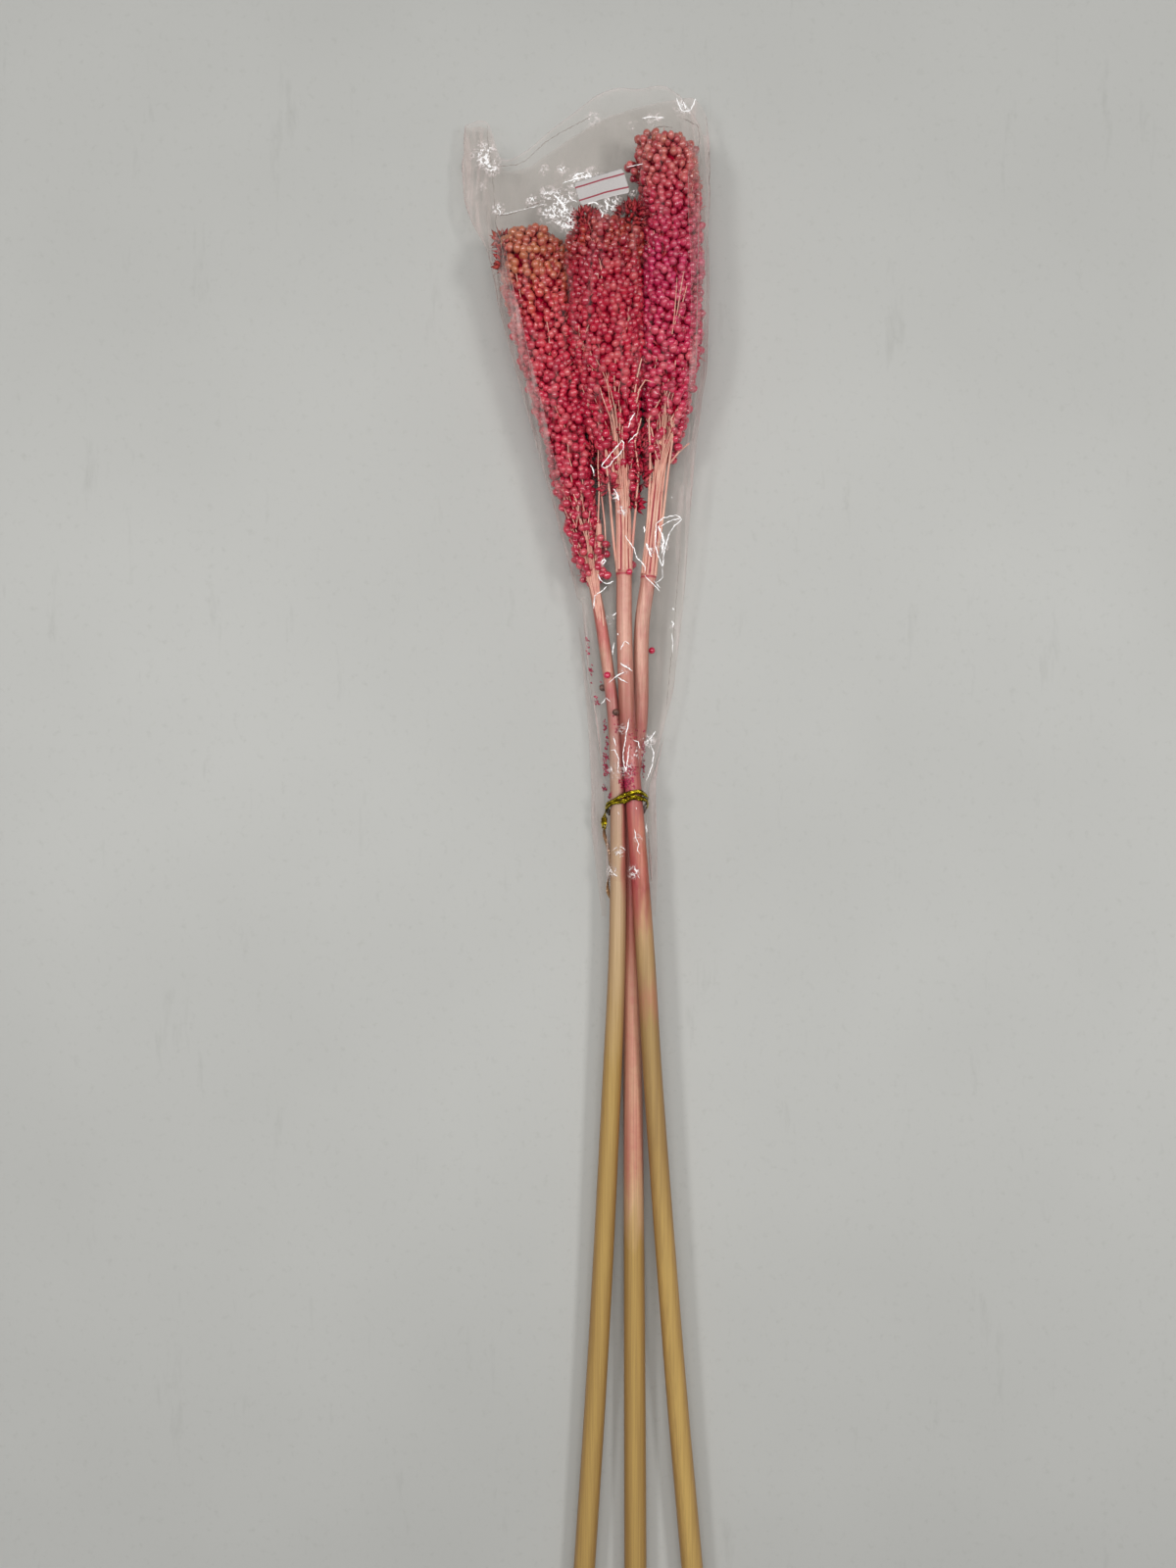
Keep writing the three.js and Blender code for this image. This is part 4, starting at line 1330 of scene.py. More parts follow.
def wrap_outline(circles, fine=480):
    """Points and directions round the shortest line about the circles, from the left over the top."""
    angles = pi - np.arange(fine) / fine * 2 * pi
    along, up = np.cos(angles), np.sin(angles)
    c = np.array(circles)
    reach = c[:, 0:1] * along + c[:, 1:2] * up + c[:, 2:3]
    best = reach.argmax(axis=0)
    x = c[best, 0] + c[best, 2] * along
    z = np.maximum(c[best, 1] + c[best, 2] * up, 0.0)
    return np.stack([x, z, along, up], axis=1)


def spaced_half(outline, sides, fine):
    """Fewer points along one half of the wrap, spaced by its length and by how far it turns."""
    turn = FILM["corner"] * pi / fine
    steps = np.hypot(*(outline[1:, :2] - outline[:-1, :2]).T) + turn
    lengths = np.concatenate([[0.0], np.cumsum(steps)])
    wanted = np.arange(sides) / sides * lengths[-1]
    return np.stack([np.interp(wanted, lengths, outline[:, k]) for k in range(4)], axis=1)


def wrap_section(circles, sides):
    """Points and directions round the circles at one place, half of them over the top."""
    outline = wrap_outline(circles)
    fine = len(outline)
    halves = (outline[: fine // 2 + 1], np.vstack([outline[fine // 2 :], outline[:1]]))
    return np.vstack([spaced_half(half, sides // 2, fine) for half in halves])


def gathers(share, y):
    """Height of the film's folds: bunched at the tie, long and soft up the sides, crinkled at the mouth."""
    tied = abs(y + 1)
    bunched = ease(tied, 6, 14) * (1 - ease(tied, 26, 70))
    pleats = abs(sin(11 * pi * share + 0.05 * y + 1.6 * sin(0.07 * y + 4 * share)))
    long_place = Vector((share * 17, y / 46, 3.1))
    long_folds = max(0.0, noise.noise(long_place) + 0.15)
    loose = ease(y, 20, 60) * (1 - ease(y, 262, 290))
    crinkle_place = Vector((share * 30, y / 7.5, 8.7))
    crinkle = noise.noise(crinkle_place) + 0.5 * noise.noise(crinkle_place * 2.3)
    open_end = ease(y, 248, 285)
    return bunched * 0.7 * (1 - pleats) ** 1.5 + loose * 0.9 * long_folds + open_end * 0.75 * crinkle


def film_stations():
    """Places of the sleeve's rings, close together at its two ends."""
    return [-36, -35.4, -34.6] + [-33 + 2 * k for k in range(175)] + [317.2, 318]


def glare_at(point):
    """How much glare is painted on the film at a point of its top."""
    px, py = dot_of(point)
    spots = (much * exp(-((px - x) ** 2 + (py - y) ** 2) / reach**2) for x, y, reach, much in GLARE)
    return min(sum(spots), 1.0)


def film_ring(y):
    """One ring of the sleeve's outside, with how much each point is welded edge, soft side fold or under
    painted glare.
    """
    sides = FILM["sides"]
    half = sides // 2
    reach = max(0.0, (y - MOUTH["from"]) / (MOUTH["to"] - MOUTH["from"]))
    lower = 1 - ease(y, -36, -22)
    ring, marks = [], []
    for s, (x, z, along, up) in enumerate(wrap_section(wrapped_circles(y), sides)):
        share = s / sides
        rise = gathers(share, y)
        flat = ease(z, 0.05, 1.5) if up < 0 else 1.0
        point_x, point_z = x + rise * along * flat, max(z + rise * up * flat, 0.0)
        mouth = smooth(MOUTH_CUT, x)[0]
        if s < half:
            window = min(s, half - s) / half
            mouth -= smooth(UPPER_DROP, x)[0] * min(window / 0.05, 1.0)
        ragged = lower * 1.6 * noise.noise(Vector((7 * cos(share * 6.283), 7 * sin(share * 6.283), 2.0)))
        point = Vector((point_x, y + reach * (mouth - MOUTH["to"]) + ragged, point_z))
        ring.append(point)
        to_weld = min(s % half, half - s % half)
        rim = max(0.0, 1 - (318 - y) / 1.2)
        marks.append((
            max(exp(-((to_weld / 1.1) ** 2)) * 0.8, rim * (0.4 if s < half else 0.15)),
            1 - ease(to_weld / half, 0.02, 0.2),
            glare_at(point) if up > -0.2 else 0.0,
        ))
    return ring, marks


def surface_of(name):
    piece = bpy.data.objects[name]
    points = [v.co for v in piece.data.vertices]
    return BVHTree.FromPolygons(points, [tuple(p.vertices) for p in piece.data.polygons])


def to_metres(point):
    return (Vector(point) - MIDDLE) * MM


def to_millimetres(point):
    return Vector(point) / MM + MIDDLE


def sight(px, py):
    """The camera's place and the way from it to one dot of the picture, in metres."""
    eye = to_metres(EYE)
    return eye, (to_metres(seen(px, py)) - eye).normalized()


def under_dot(surface, px, py):
    """The point of a surface that is seen at one dot of the picture, if it is there, and its normal."""
    hit, normal, _, _ = surface.ray_cast(*sight(px, py))
    if hit is None:
        return None
    return to_millimetres(hit), -normal if normal.z < 0 else normal


# Where glints and glare are painted on the film: a dot of the picture, how far it spreads, and how strongly.
GLARE = [
    (495, 158, 11, 0.9), (503, 172, 7, 0.5), (492, 190, 6, 0.3), (508, 213, 6, 0.7), (542, 204, 5, 0.7),
    (556, 196, 6, 0.4), (555, 173, 5, 0.5), (573, 172, 5, 0.6), (531, 133, 5, 0.4), (605, 121, 7, 0.5),
    (645, 127, 5, 0.4), (570, 206, 12, 0.9), (576, 224, 9, 0.8), (583, 234, 5, 0.4), (592, 186, 11, 0.7),
    (606, 179, 8, 0.5), (619, 211, 7, 0.9), (627, 203, 6, 0.5), (646, 196, 4, 0.4), (600, 203, 5, 0.5),
    (558, 218, 8, 0.5), (699, 108, 10, 0.6), (667, 121, 8, 0.4), (626, 788, 7, 0.5), (641, 786, 6, 0.5),
    (650, 770, 7, 0.4), (662, 756, 7, 0.5), (631, 868, 6, 0.3), (624, 889, 6, 0.45), (647, 890, 6, 0.5),
    (651, 856, 5, 0.3), (629, 506, 4, 0.6), (635, 521, 5, 0.6), (662, 561, 5, 0.5), (677, 556, 7, 0.4),
    (617, 574, 4, 0.5), (622, 632, 5, 0.3), (637, 682, 6, 0.3), (687, 638, 5, 0.3), (635, 744, 6, 0.3),
]

# Sharp creases of the film, painted white with a glow as glints: the width against the usual, then x and y of
# each dot on the line.
CREASES = [
    (0.9, 613.6, 476.3, 617.1, 478, 621.6, 475.4, 627, 468.2, 631.4, 464.6, 635.9, 458.4, 636.4, 452.1,
     634.1, 449.5, 630.5, 454.8, 626.1, 459.3, 620.7, 466.4, 616.3, 471.8, 613.6, 476.3),
    (1.9, 626.3, 499, 629.6, 504, 631.4, 511), (1.6, 634, 517.3, 635.2, 521, 636.8, 525.4),
    (1, 637.7, 546.8, 642.1, 553, 647.5, 561, 649.3, 568.2, 654.6, 573.6, 658.2, 578.9, 658.2, 583.4),
    (0.8, 657.3, 587, 667.1, 596.8, 673.4, 603), (0.7, 667.1, 592.5, 671, 597, 674.5, 600.5),
    (1.5, 613.6, 573.6, 616.5, 570.8, 618, 572.5, 614.6, 576.2),
    (1, 610, 586, 613.6, 593.2, 618.9, 595.9, 626, 593.2),
    (0.8, 605.5, 620.9, 607.3, 607.5, 615.4, 602.1, 618.9, 598.6), (2.2, 656.8, 537, 658, 541, 657.4, 543.6),
    (1.7, 659, 554, 661.8, 561, 664.5, 568.2),
    (0.95, 669.8, 534.3, 676.1, 528.9, 685, 526.3, 690.4, 525.7, 695.7, 529.8, 688.6, 536.1, 683.2, 543.2,
     677.9, 561.1, 676.1, 578, 671.6, 568.2, 668.6, 555.7, 669.3, 541.4, 669.8, 534.3),
    (1.6, 671.6, 537, 675.2, 545, 677, 552.1, 675.2, 564.6),
    (0.8, 674, 537.5, 680, 533.4, 688, 530, 694, 529.2), (0.7, 676.1, 579, 676, 589.6, 669, 595),
    (1.4, 625.2, 628.4, 628.7, 625.4), (1.4, 630.2, 646, 631, 648),
    (0.9, 625.2, 668.2, 626, 657.5, 627.6, 655.6), (0.8, 633.2, 662.9, 637.7, 653.9, 642.1, 657.5),
    (1.3, 633.2, 677.1, 640.4, 681.6, 644.8, 684.3), (1, 621.6, 696.8, 629.6, 689.6, 636.8, 686.1),
    (0.9, 630.5, 691.4, 640.4, 696.8), (1, 647.5, 421.8, 643, 428.9, 641.3, 436),
    (0.9, 651, 441.4, 646, 446, 641.3, 451.3), (0.8, 602.6, 474, 605.3, 480, 605.8, 486),
    (1.3, 685, 507, 685.8, 508.4), (1.5, 686.5, 620, 687.3, 622.4), (1.6, 685.2, 634, 687.2, 636, 686.4, 640),
    (0.7, 685.4, 646, 686.2, 655, 685.9, 666), (0.8, 613.6, 718.4, 618.9, 712.1, 622.5, 715.7),
    (0.8, 642.1, 733, 638.6, 751.4, 635.9, 769.3, 636.8, 780, 638.6, 787.1, 640.4, 776.4, 642.1, 760.4),
    (0.8, 623.4, 765.7, 627, 764.8, 631.4, 774.6, 630.5, 787.1), (0.8, 626, 751.4, 628.8, 761.3),
    (0.8, 645.7, 755, 651, 756.8, 652.9, 763.9), (1, 660, 756.8, 665.4, 751.4, 668.9, 746),
    (0.9, 662.7, 758.6, 667.1, 767.5, 665.4, 780, 661.8, 790.7, 659.1, 796),
    (0.6, 647.5, 846, 648.6, 854, 651.4, 861, 650.6, 868, 653, 871),
    (0.55, 624, 868.4, 627.4, 865.6, 630, 864.6), (0.55, 632.6, 864, 636, 865.2, 638.6, 868),
    (0.5, 628.4, 872.6, 631, 869.4, 633, 871.2, 635.6, 869.2), (0.5, 632.4, 874.8, 636.4, 873),
    (0.7, 621.6, 883.6, 625.2, 890.7, 630.5, 894.3), (0.55, 642.8, 887.4, 646, 884.4),
    (0.6, 647.4, 883.6, 648.6, 888, 650.4, 890.8), (0.5, 645.2, 890, 648.2, 893.4),
    (0.5, 650.6, 893.2, 652.8, 896.2), (1.2, 631.2, 829, 632, 831), (1.2, 649, 824, 649.4, 826),
    (0.8, 659, 840.7, 660, 849.6),
    (1, 690, 100.4, 692.2, 107, 695, 113, 700, 114, 705.3, 111.9, 708, 105, 710.4, 97.9),
    (1.6, 697, 104, 699.4, 110.5), (0.9, 655, 121, 664, 119.4, 678, 120.4),
    (1.4, 507.6, 213, 511, 216, 509.6, 220), (1.5, 541.4, 205, 543.6, 202.6, 544.6, 205.4),
    (1.4, 571.6, 172, 573.8, 174.4), (1.2, 584, 181, 589, 178, 596, 176.4),
    (1.4, 565, 199, 570, 203.4, 573.4, 209), (1.6, 572, 206, 577, 211, 575, 216),
    (1.3, 580, 199, 583.6, 204, 588.4, 206), (1.5, 617, 205.6, 620, 209, 618.4, 214),
    (1.4, 612, 213, 615.4, 218, 614, 222), (1.1, 600, 208, 606, 206.4, 611, 208.8),
    (1, 562, 211, 566, 219, 571, 222), (0.45, 513, 219, 530, 214.6, 545, 211, 557, 208),
    (0.8, 574, 187, 585, 183.4, 600, 180), (0.6, 640, 170.4, 648, 168.8, 656, 167),
]

# Folds where the film lies double over the heads: the fold's line, the sleeve's side, and how hazy it is.
FOLDS = [
    ([(513, 242), (519, 268), (528, 310), (538, 350), (552.2, 409), (565, 462), (580, 520)],
     [(506, 242), (508, 268), (514, 310), (525, 350), (541, 409), (556, 462), (576, 520)], 1.0),
    ([(703, 150), (702, 190), (703, 240), (706, 300), (704, 350), (703, 400), (703, 450)],
     [(712, 150), (713, 190), (713, 240), (712, 300), (711, 350), (709, 400), (707, 450)], 0.45),
]

# Pleats of film that flare out beside the tie, whose white haze is painted light over the shadow there: the
# side at the bunch and the outer side.
PLEATS = [
    ([(592, 640), (600.5, 700), (608, 740), (612.5, 780), (617, 805), (618.4, 850), (619, 935)],
     [(590, 640), (596.5, 700), (600, 740), (602.4, 780), (603.4, 805), (604, 850), (614, 935)]),
    ([(677, 752), (669.5, 780), (661.6, 805), (661.4, 850), (663.4, 895), (665, 935)],
     [(678, 752), (672, 780), (669.4, 805), (670.4, 850), (671, 895), (669, 935)]),
]

# Thin grey edges of the film, in the same way.
FILM_EDGES = [
    (0.6, 508, 170, 518, 169.4, 528, 168, 536, 164, 543, 158, 555, 146.5, 570, 136.6, 586, 128.3, 603, 119),
    (0.7, 506.5, 219.5, 513, 219.8, 525, 217.6, 540, 211, 553, 206),
    (0.6, 506.5, 219.5, 505.8, 226, 507.4, 236, 511.5, 246),
    (0.5, 497, 125, 498, 145, 501.6, 170, 504, 195, 505, 213),
    (0.6, 697, 121, 705, 125, 712, 128.5, 714, 140, 712.4, 152),
    (0.5, 714, 172, 713, 220, 712, 270, 711, 330, 710, 380), (0.5, 511, 246, 515, 270, 522, 300),
    (0.9, 668, 130, 676, 129.2, 686, 130), (0.5, 560, 640, 566, 700, 574, 760),
    (0.5, 694, 560, 688, 640, 680, 720),
]


def crease_line(surface, mark, rng):
    """One crease along the film's top, with an uneven width."""
    width, *flat = mark
    dots = list(zip(flat[::2], flat[1::2]))
    spots = []
    for (ax, ay), (bx, by) in zip(dots, dots[1:]):
        steps = max(2, int(hypot(bx - ax, by - ay) / 1.6))
        spots += [(ax + (bx - ax) * k / steps, ay + (by - ay) * k / steps) for k in range(steps)]
    base = sizes().crease_radius / MM * width
    line = []
    for k, (px, py) in enumerate(spots + [dots[-1]]):
        found = under_dot(surface, px + rng.uniform(-0.4, 0.4), py + rng.uniform(-0.4, 0.4))
        if found is not None:
            taper = min(1.0, 0.4 + 0.3 * k, 0.4 + 0.3 * (len(spots) - k))
            line.append((found[0] + found[1] * base * 0.4, base * taper * rng.uniform(0.4, 1.5)))
    return line


def on_line(dots, place):
    """The dot at one place along a line of dots, counted in its corners."""
    i = min(int(place), len(dots) - 2)
    return [low + (high - low) * (place - i) for low, high in zip(dots[i], dots[i + 1])]


def fold_flap(surface, fold, side, lift):
    """Rows of points for a narrow second ply of film, from a fold's line to the side of the sleeve."""
    rows = []
    steps, across = 60, 8
    for k in range(steps + 1):
        (ax, ay), (bx, by) = (on_line(line, k / steps * (len(fold) - 1)) for line in (fold, side))
        row = []
        for m in range(across + 1):
            w = (m / across) ** 1.8
            wave = 0.5 * sin(k * 0.35) * (1 - w)
            found = under_dot(surface, ax + (bx - ax) * w + wave, ay + (by - ay) * w)
            row.append(found[0] + found[1] * (lift + 0.25 * sin(pi * w)) if found else row[-1])
        rows.append(row)
    return rows


def curve_points(line, steps):
    """Points at even steps of a smooth curve through a line's corners."""
    rows = [(k, *point) for k, point in enumerate(line)]
    return [Vector(smooth(rows, k / steps * (len(line) - 1))) for k in range(steps + 1)]


def pleat_rows(inner, outer):
    """Rows of points for a pleat of film, from the bunch down to the table."""
    rows = []
    steps, across = 70, 8
    for k, (a, b) in enumerate(zip(curve_points(inner, steps), curve_points(outer, steps))):
        row = []
        for m in range(across + 1):
            w = m / across
            ripple = 0.5 + 0.5 * sin(0.4 * k + 5 * w)
            height = 0.2 + (0.8 * (1 - w) ** 2 + 0.3 * ripple) * ease(min(k, steps - k), 0, 20)
            ground = seen(*(a + (b - a) * w))
            row.append(EYE + (ground - EYE) * (1 - height / EYE.z))
        rows.append(row)
    return rows


def film_flap(name, rows, haze):
    """A flap of film over the sleeve. A pleat, with a haze over 1, shows no line at its first edge."""
    high, wide = len(rows), len(rows[0])
    piece = new_piece(name, [p for row in rows for p in row], grid_faces(high, wide), closed=False)
    edge, veil = [], []
    for r in range(high):
        for c in range(wide):
            edge.append(0.9 if c == 0 and haze <= 1.0 else 0.0)
            veil.append(haze * min(1.0, c / 3) * min(1.0, r / 14, (high - 1 - r) / 14))
    set_values(piece.data, "weld", edge)
    set_values(piece.data, "veil", veil)
    walled(piece, sizes().film_wall, 1.0)
    return finish_piece(piece, bpy.data.materials["clear_film"])


# Loose seeds, undyed seeds and flecks of husk: a dot of the picture and the size in millimetres.
LOOSE_SEEDS = [(665, 664, 3.3), (620, 689, 3.4), (595, 568, 3.6), (645, 577, 4.2), (641, 584, 3.0),
               (648, 512, 3.2), (652, 498, 3.0), (655, 480, 3.4)]
LOOSE_DARK = [(615, 702, 3.6), (628, 727, 3.4)]
FLECKS = [
    (598.4, 652, 3.4), (600.4, 667, 2.4), (603, 684, 3.2), (607.3, 711, 2.4), (610.4, 718, 2.8),
    (618, 742, 3), (619.4, 752, 2), (618.2, 764, 2.6), (619.4, 773, 3.4), (617.6, 781, 3.2), (620, 788, 3),
    (617.6, 805, 2.6), (621.6, 814, 2.6), (657.4, 746, 2.2), (658, 760, 2.6), (655.4, 771, 3.2),
    (656.4, 783, 2.6), (659, 752, 1.6), (638.6, 803, 3), (641.4, 797, 3.4), (645.4, 795, 2.8),
    (632, 798, 2.2), (635, 790, 1.6), (647, 803, 2.2), (643, 806, 2), (637, 796, 2), (650, 789, 1.6),
    (626, 731, 1.2), (613, 696, 1.4),
]

# Dust of dye: a dot of the picture, how far it spreads across and along, and how many grains.
DUST = [
    (618.5, 786, 2.4, 7, 50), (617, 774, 2, 6, 26), (616, 804, 1.8, 4, 12), (622.4, 812, 1.6, 4, 16),
    (639, 799, 5.4, 4.6, 170), (643, 786, 5.6, 6, 90), (656.6, 783, 1.8, 7, 34), (656.5, 765, 1.6, 8, 22),
    (619, 757, 1.6, 8, 22), (617, 740, 1.6, 8, 14), (609, 715, 1.8, 6, 14), (603, 686, 1.6, 8, 12),
    (599.6, 658, 1.4, 8, 14), (628, 742, 3, 9, 10), (646, 752, 4, 12, 14),
]


def resting_point(px, py, film, stalks, size):
    """Where a loose bit lies inside the sleeve: on a stem if one is there, or else on the film under it."""
    at, way = sight(px, py)
    for surface in stalks:
        hit, normal, _, _ = surface.ray_cast(at, way)
        if hit is not None:
            return to_millimetres(hit) + normal * size * 0.3, normal
    hits, past = [], 1e-5
    for _ in range(6):
        hit, normal, _, _ = film.ray_cast(at, way)
        if hit is None:
            break
        hits.append(hit)
        at = hit + way * past
    up = Vector((0, 0, 1))
    if len(hits) >= 3:
        return to_millimetres(hits[2]) + up * size * 0.3, up
    return seen(px, py) + up * (0.8 + size * 0.3), up


def chip(centre, normal, size, rng):
    """A thin uneven flake lying on a surface."""
    spin = rng.uniform(0, 6.28)
    side = normal.orthogonal().normalized()
    other = normal.cross(side)
    rings = []
    for level, share in ((-0.18, 0.75), (0.0, 1.0), (0.16, 0.7)):
        ring = []
        for s, turn in enumerate(round_angles(7)):
            angle = spin + turn
            reach = size / 2 * share * (0.7 + 0.3 * sin(s * 2.4 + spin))
            flat = side * cos(angle) * reach * 0.7 + other * sin(angle) * reach
            ring.append(centre + flat + normal * level)
        rings.append(ring)
    return rings


def pebble(centre, size, rng):
    """A rounded seed with a slight point, turned at random."""
    axis = Vector((rng.uniform(-1, 1), rng.uniform(-1, 1), rng.uniform(-0.3, 0.6))).normalized()
    side = axis.orthogonal().normalized()
    other = axis.cross(side)
    profile = ((-0.47, 0.25), (-0.36, 0.62), (-0.15, 0.95), (0.12, 1.0), (0.34, 0.7), (0.48, 0.25))
    return [
        [
            centre + axis * share * size + (side * cos(a) + other * sin(a)) * size * 0.46 * reach
            for a in round_angles(12)
        ]
        for share, reach in profile
    ]


# Tie


def band_section(point, out, across, width, wobble):
    """Cross section of the foil ribbon, with the wire's bulge along its middle."""
    outline = []
    count = 9
    for k in range(count):
        v = (k / (count - 1) - 0.5) * width
        bulge = 0.16 + 0.5 * exp(-((v / 0.36) ** 2)) + wobble * sin(5 * v)
        outline.append(point + across * v + out * bulge)
    for k in (count - 1, count // 2, 0):
        v = (k / (count - 1) - 0.5) * width
        outline.append(point + across * v)
    return outline


def tie_loop(shift, number):
    """Rings of one winding of the ribbon about the sleeve."""
    circles = [
        (x, z, radius + TIE["gap"])
        for place in TIE["reach"]
        for x, z, radius in wrapped_circles(place)
    ]
    rings = []
    for k, (x, z, along, up) in enumerate(wrap_section(circles, TIE["sides"])):
        left = ease(x, 17, 10)
        slant = TIE["tilt"] * (z - TIE["middle"]) + TIE["lean"] * (x - MIDDLE.x - 17)
        y = shift * (1 - 0.5 * left) + 0.18 * sin(0.35 * k + 2 * number) + slant
        out = Vector((along, 0, up))
        across = (Vector((0, 1, 0)) + out * 0.28 * sin(0.21 * k + number)).normalized()
        point = Vector((x, y, max(z, 0.05)))
        rings.append(band_section(point, out, across, TIE["width"] * (1 - 0.3 * left), 0.05 * sin(1.3 * k)))
    return rings


def twisted_ribbon(line, width, thick, turns, steps, offset, phase, swell):
    """A flat ribbon that winds about a line and opens out part of the way along."""
    spine = curve_points(line, steps)
    rings = []
    for k, point in enumerate(spine):
        ahead = (spine[min(k + 1, steps)] - spine[max(k - 1, 0)]).normalized()
        side = Vector((0, 0, 1)).cross(ahead).normalized()
        above = ahead.cross(side)
        angle = phase + k / steps * turns * 2 * pi
        flare = 0.22 + 0.78 * ease(k / steps, swell - 0.1, swell + 0.1)
        u = side * cos(angle) + above * sin(angle)
        v = above * cos(angle) - side * sin(angle)
        centre = point + u * offset * flare
        taper = flare * (1 - 0.45 * ease(k / steps, 0.85, 1.0))
        rings.append([
            centre + u * sin(a) * thick / 2 * taper + v * cos(a) * width / 2 * taper
            for a in round_angles(10)
        ])
    return rings


def tie_piece():
    """The foil tie: its two windings, the two strands of its twist, and its tail."""
    # Painted shade at the edges of each winding, where the two windings meet.
    across = [min(1.4 * abs(k / 4 - 1) ** 2.5, 1.0) for k in range(9)] + [1.0, 1.0, 1.0]
    steps = 60
    parts, border = [], []
    for number, shift in enumerate((TIE["pitch"] / 2, -TIE["pitch"] / 2)):
        rings = tie_loop(shift, number)
        parts.append((rings, "joined"))
        border += across * len(rings)
    for rings in (
        twisted_ribbon(TWIST_LINE, 2.6, 0.9, 1.6, steps, 0.65, 0.4, 0.55),
        twisted_ribbon(TWIST_LINE, 2.6, 0.9, 1.6, steps, 0.65, 0.4 + pi, 0.55),
        twisted_ribbon(TAIL_LINE, 1.7, 0.4, 0.7, steps, 0.0, 0.6, 0.0),
    ):
        parts.append((rings, "capped"))
        dark = [0.9 * (1 - ease(k / steps, 0.35, 0.5)) for k in range(steps + 1)]
        border += [value for value in dark for _ in rings[0]] + [dark[0], dark[-1]]
    piece = many_lofts("foil_tie", parts)
    set_values(piece.data, "border", border)
    return finish_piece(piece, foil_material(), ["twist_tie"])


# Label


def label_points(film, columns, rows):
    """Points on the film under the label, whose corners are rounded, and each one's place on its paper."""
    half_length, half_width, corner = LABEL["length"] / 2, LABEL["width"] / 2, LABEL["corner"]
    cosine, sine = cos(LABEL["turn"]), sin(LABEL["turn"])
    points, places = [], []
    for r in range(rows + 1):
        for c in range(columns + 1):
            u, v = (c / columns * 2 - 1) * half_length, (r / rows * 2 - 1) * half_width
            over = abs(u) - (half_length - corner)
            if over > 0:
                v *= (half_width - corner + sqrt(max(corner**2 - over**2, 0.0))) / half_width
            x, y = LABEL["x"] + u * cosine - v * sine, LABEL["y"] + u * sine + v * cosine
            hit, _, _, _ = film.ray_cast(to_metres((x, y, 100)), Vector((0, 0, -1)))
            points.append((x, y, to_millimetres(hit).z + 0.06))
            places.append(((u / half_length + 1) / 2, (v / half_width + 1) / 2))
    return points, places


def label_piece(film):
    """A blank label with rounded corners on the film's top, stiff enough to bridge the film's hollows."""
    columns, rows, rounds = 44, 24, 60
    points, places = label_points(film, columns, rows)
    film_heights = np.array([z for _, _, z in points]).reshape(rows + 1, columns + 1)
    heights = film_heights
    for _ in range(rounds):
        padded = np.pad(heights, 1, mode="reflect", reflect_type="odd")
        around = padded[:-2, 1:-1] + padded[2:, 1:-1] + padded[1:-1, :-2] + padded[1:-1, 2:]
        heights = np.maximum(film_heights, around / 4)
    laid = [(x, y, height) for (x, y, _), height in zip(points, heights.ravel())]
    piece = new_piece("blank_label", laid, grid_faces(rows + 1, columns + 1), closed=False)
    layer = piece.data.uv_layers.new(name="paper")
    for loop in piece.data.loops:
        layer.data[loop.index].uv = places[loop.vertex_index]
    walled(piece, LABEL["thick"] * MM, 1.0)
    return finish_piece(piece, label_material(), ["price_label"])


# Operators


class BUNCH_OT_stage(bpy.types.Operator):
    """Set the bunch on a pale table under three lamps and a soft ceiling, with the camera above it"""

    bl_idname = "bunch.stage"
    bl_label = "Table, lights and camera"

    def execute(self, context):
        context.scene.view_settings.view_transform = "Standard"
        self.add_table()
        for lamp in LAMPS:
            self.add_lamp(*lamp)
        self.add_world(context.scene)
        self.add_camera(context.scene)
        return {"FINISHED"}

    def add_table(self):
        mesh = bpy.data.meshes.new("table")
        half = TABLE["half"]
        corners = ((-half, -half), (half, -half), (half, half), (-half, half))
        points = [(x, y, z) for z in (TABLE["top"], TABLE["bottom"]) for x, y in corners]
        faces = [(0, 1, 2, 3), (7, 6, 5, 4), (0, 4, 5, 1), (1, 5, 6, 2), (2, 6, 7, 3), (3, 7, 4, 0)]
        mesh.from_pydata(points, [], faces)
        mesh.materials.append(table_material())
        placed_object("table", mesh)

    def add_lamp(self, name, place, width, length, power):
        """A lamp above the table that faces the middle of the bunch."""
        light = bpy.data.lights.new(name, "AREA")
        light.shape, light.size, light.size_y, light.energy = "RECTANGLE", width, length, power
        lamp = placed_object(name, light)
        lamp.location = (*place, sqrt(LAMP_DISTANCE**2 - place[0] ** 2))
        lamp.rotation_euler = (0.0, asin(place[0] / LAMP_DISTANCE), 0.0)

    def add_world(self, scene):
        world = bpy.data.worlds.new("soft_room")
        world.use_nodes = True
        background = world.node_tree.nodes["Background"]
        background.inputs["Color"].default_value = shade(250, 250, 248)
        background.inputs["Strength"].default_value = 0.22
        scene.world = world

    def add_camera(self, scene):
        data = bpy.data.cameras.new("above")
        data.sensor_fit, data.sensor_height = "VERTICAL", SENSOR
        data.lens = SENSOR / 2 / (PICTURE[1] / 2 * DOT / EYE.z)
        scene.camera = placed_object("above", data)
        scene.camera.location = to_metres(EYE)


class BUNCH_OT_stalks(bpy.types.Operator):
    """Make the three stems with their ribs, rings, dye and cut ends"""

    bl_idname = "bunch.stalks"
    bl_label = "Stems"

    def execute(self, context):
        for side in SIDES:
            stalk(side)
        return {"FINISHED"}


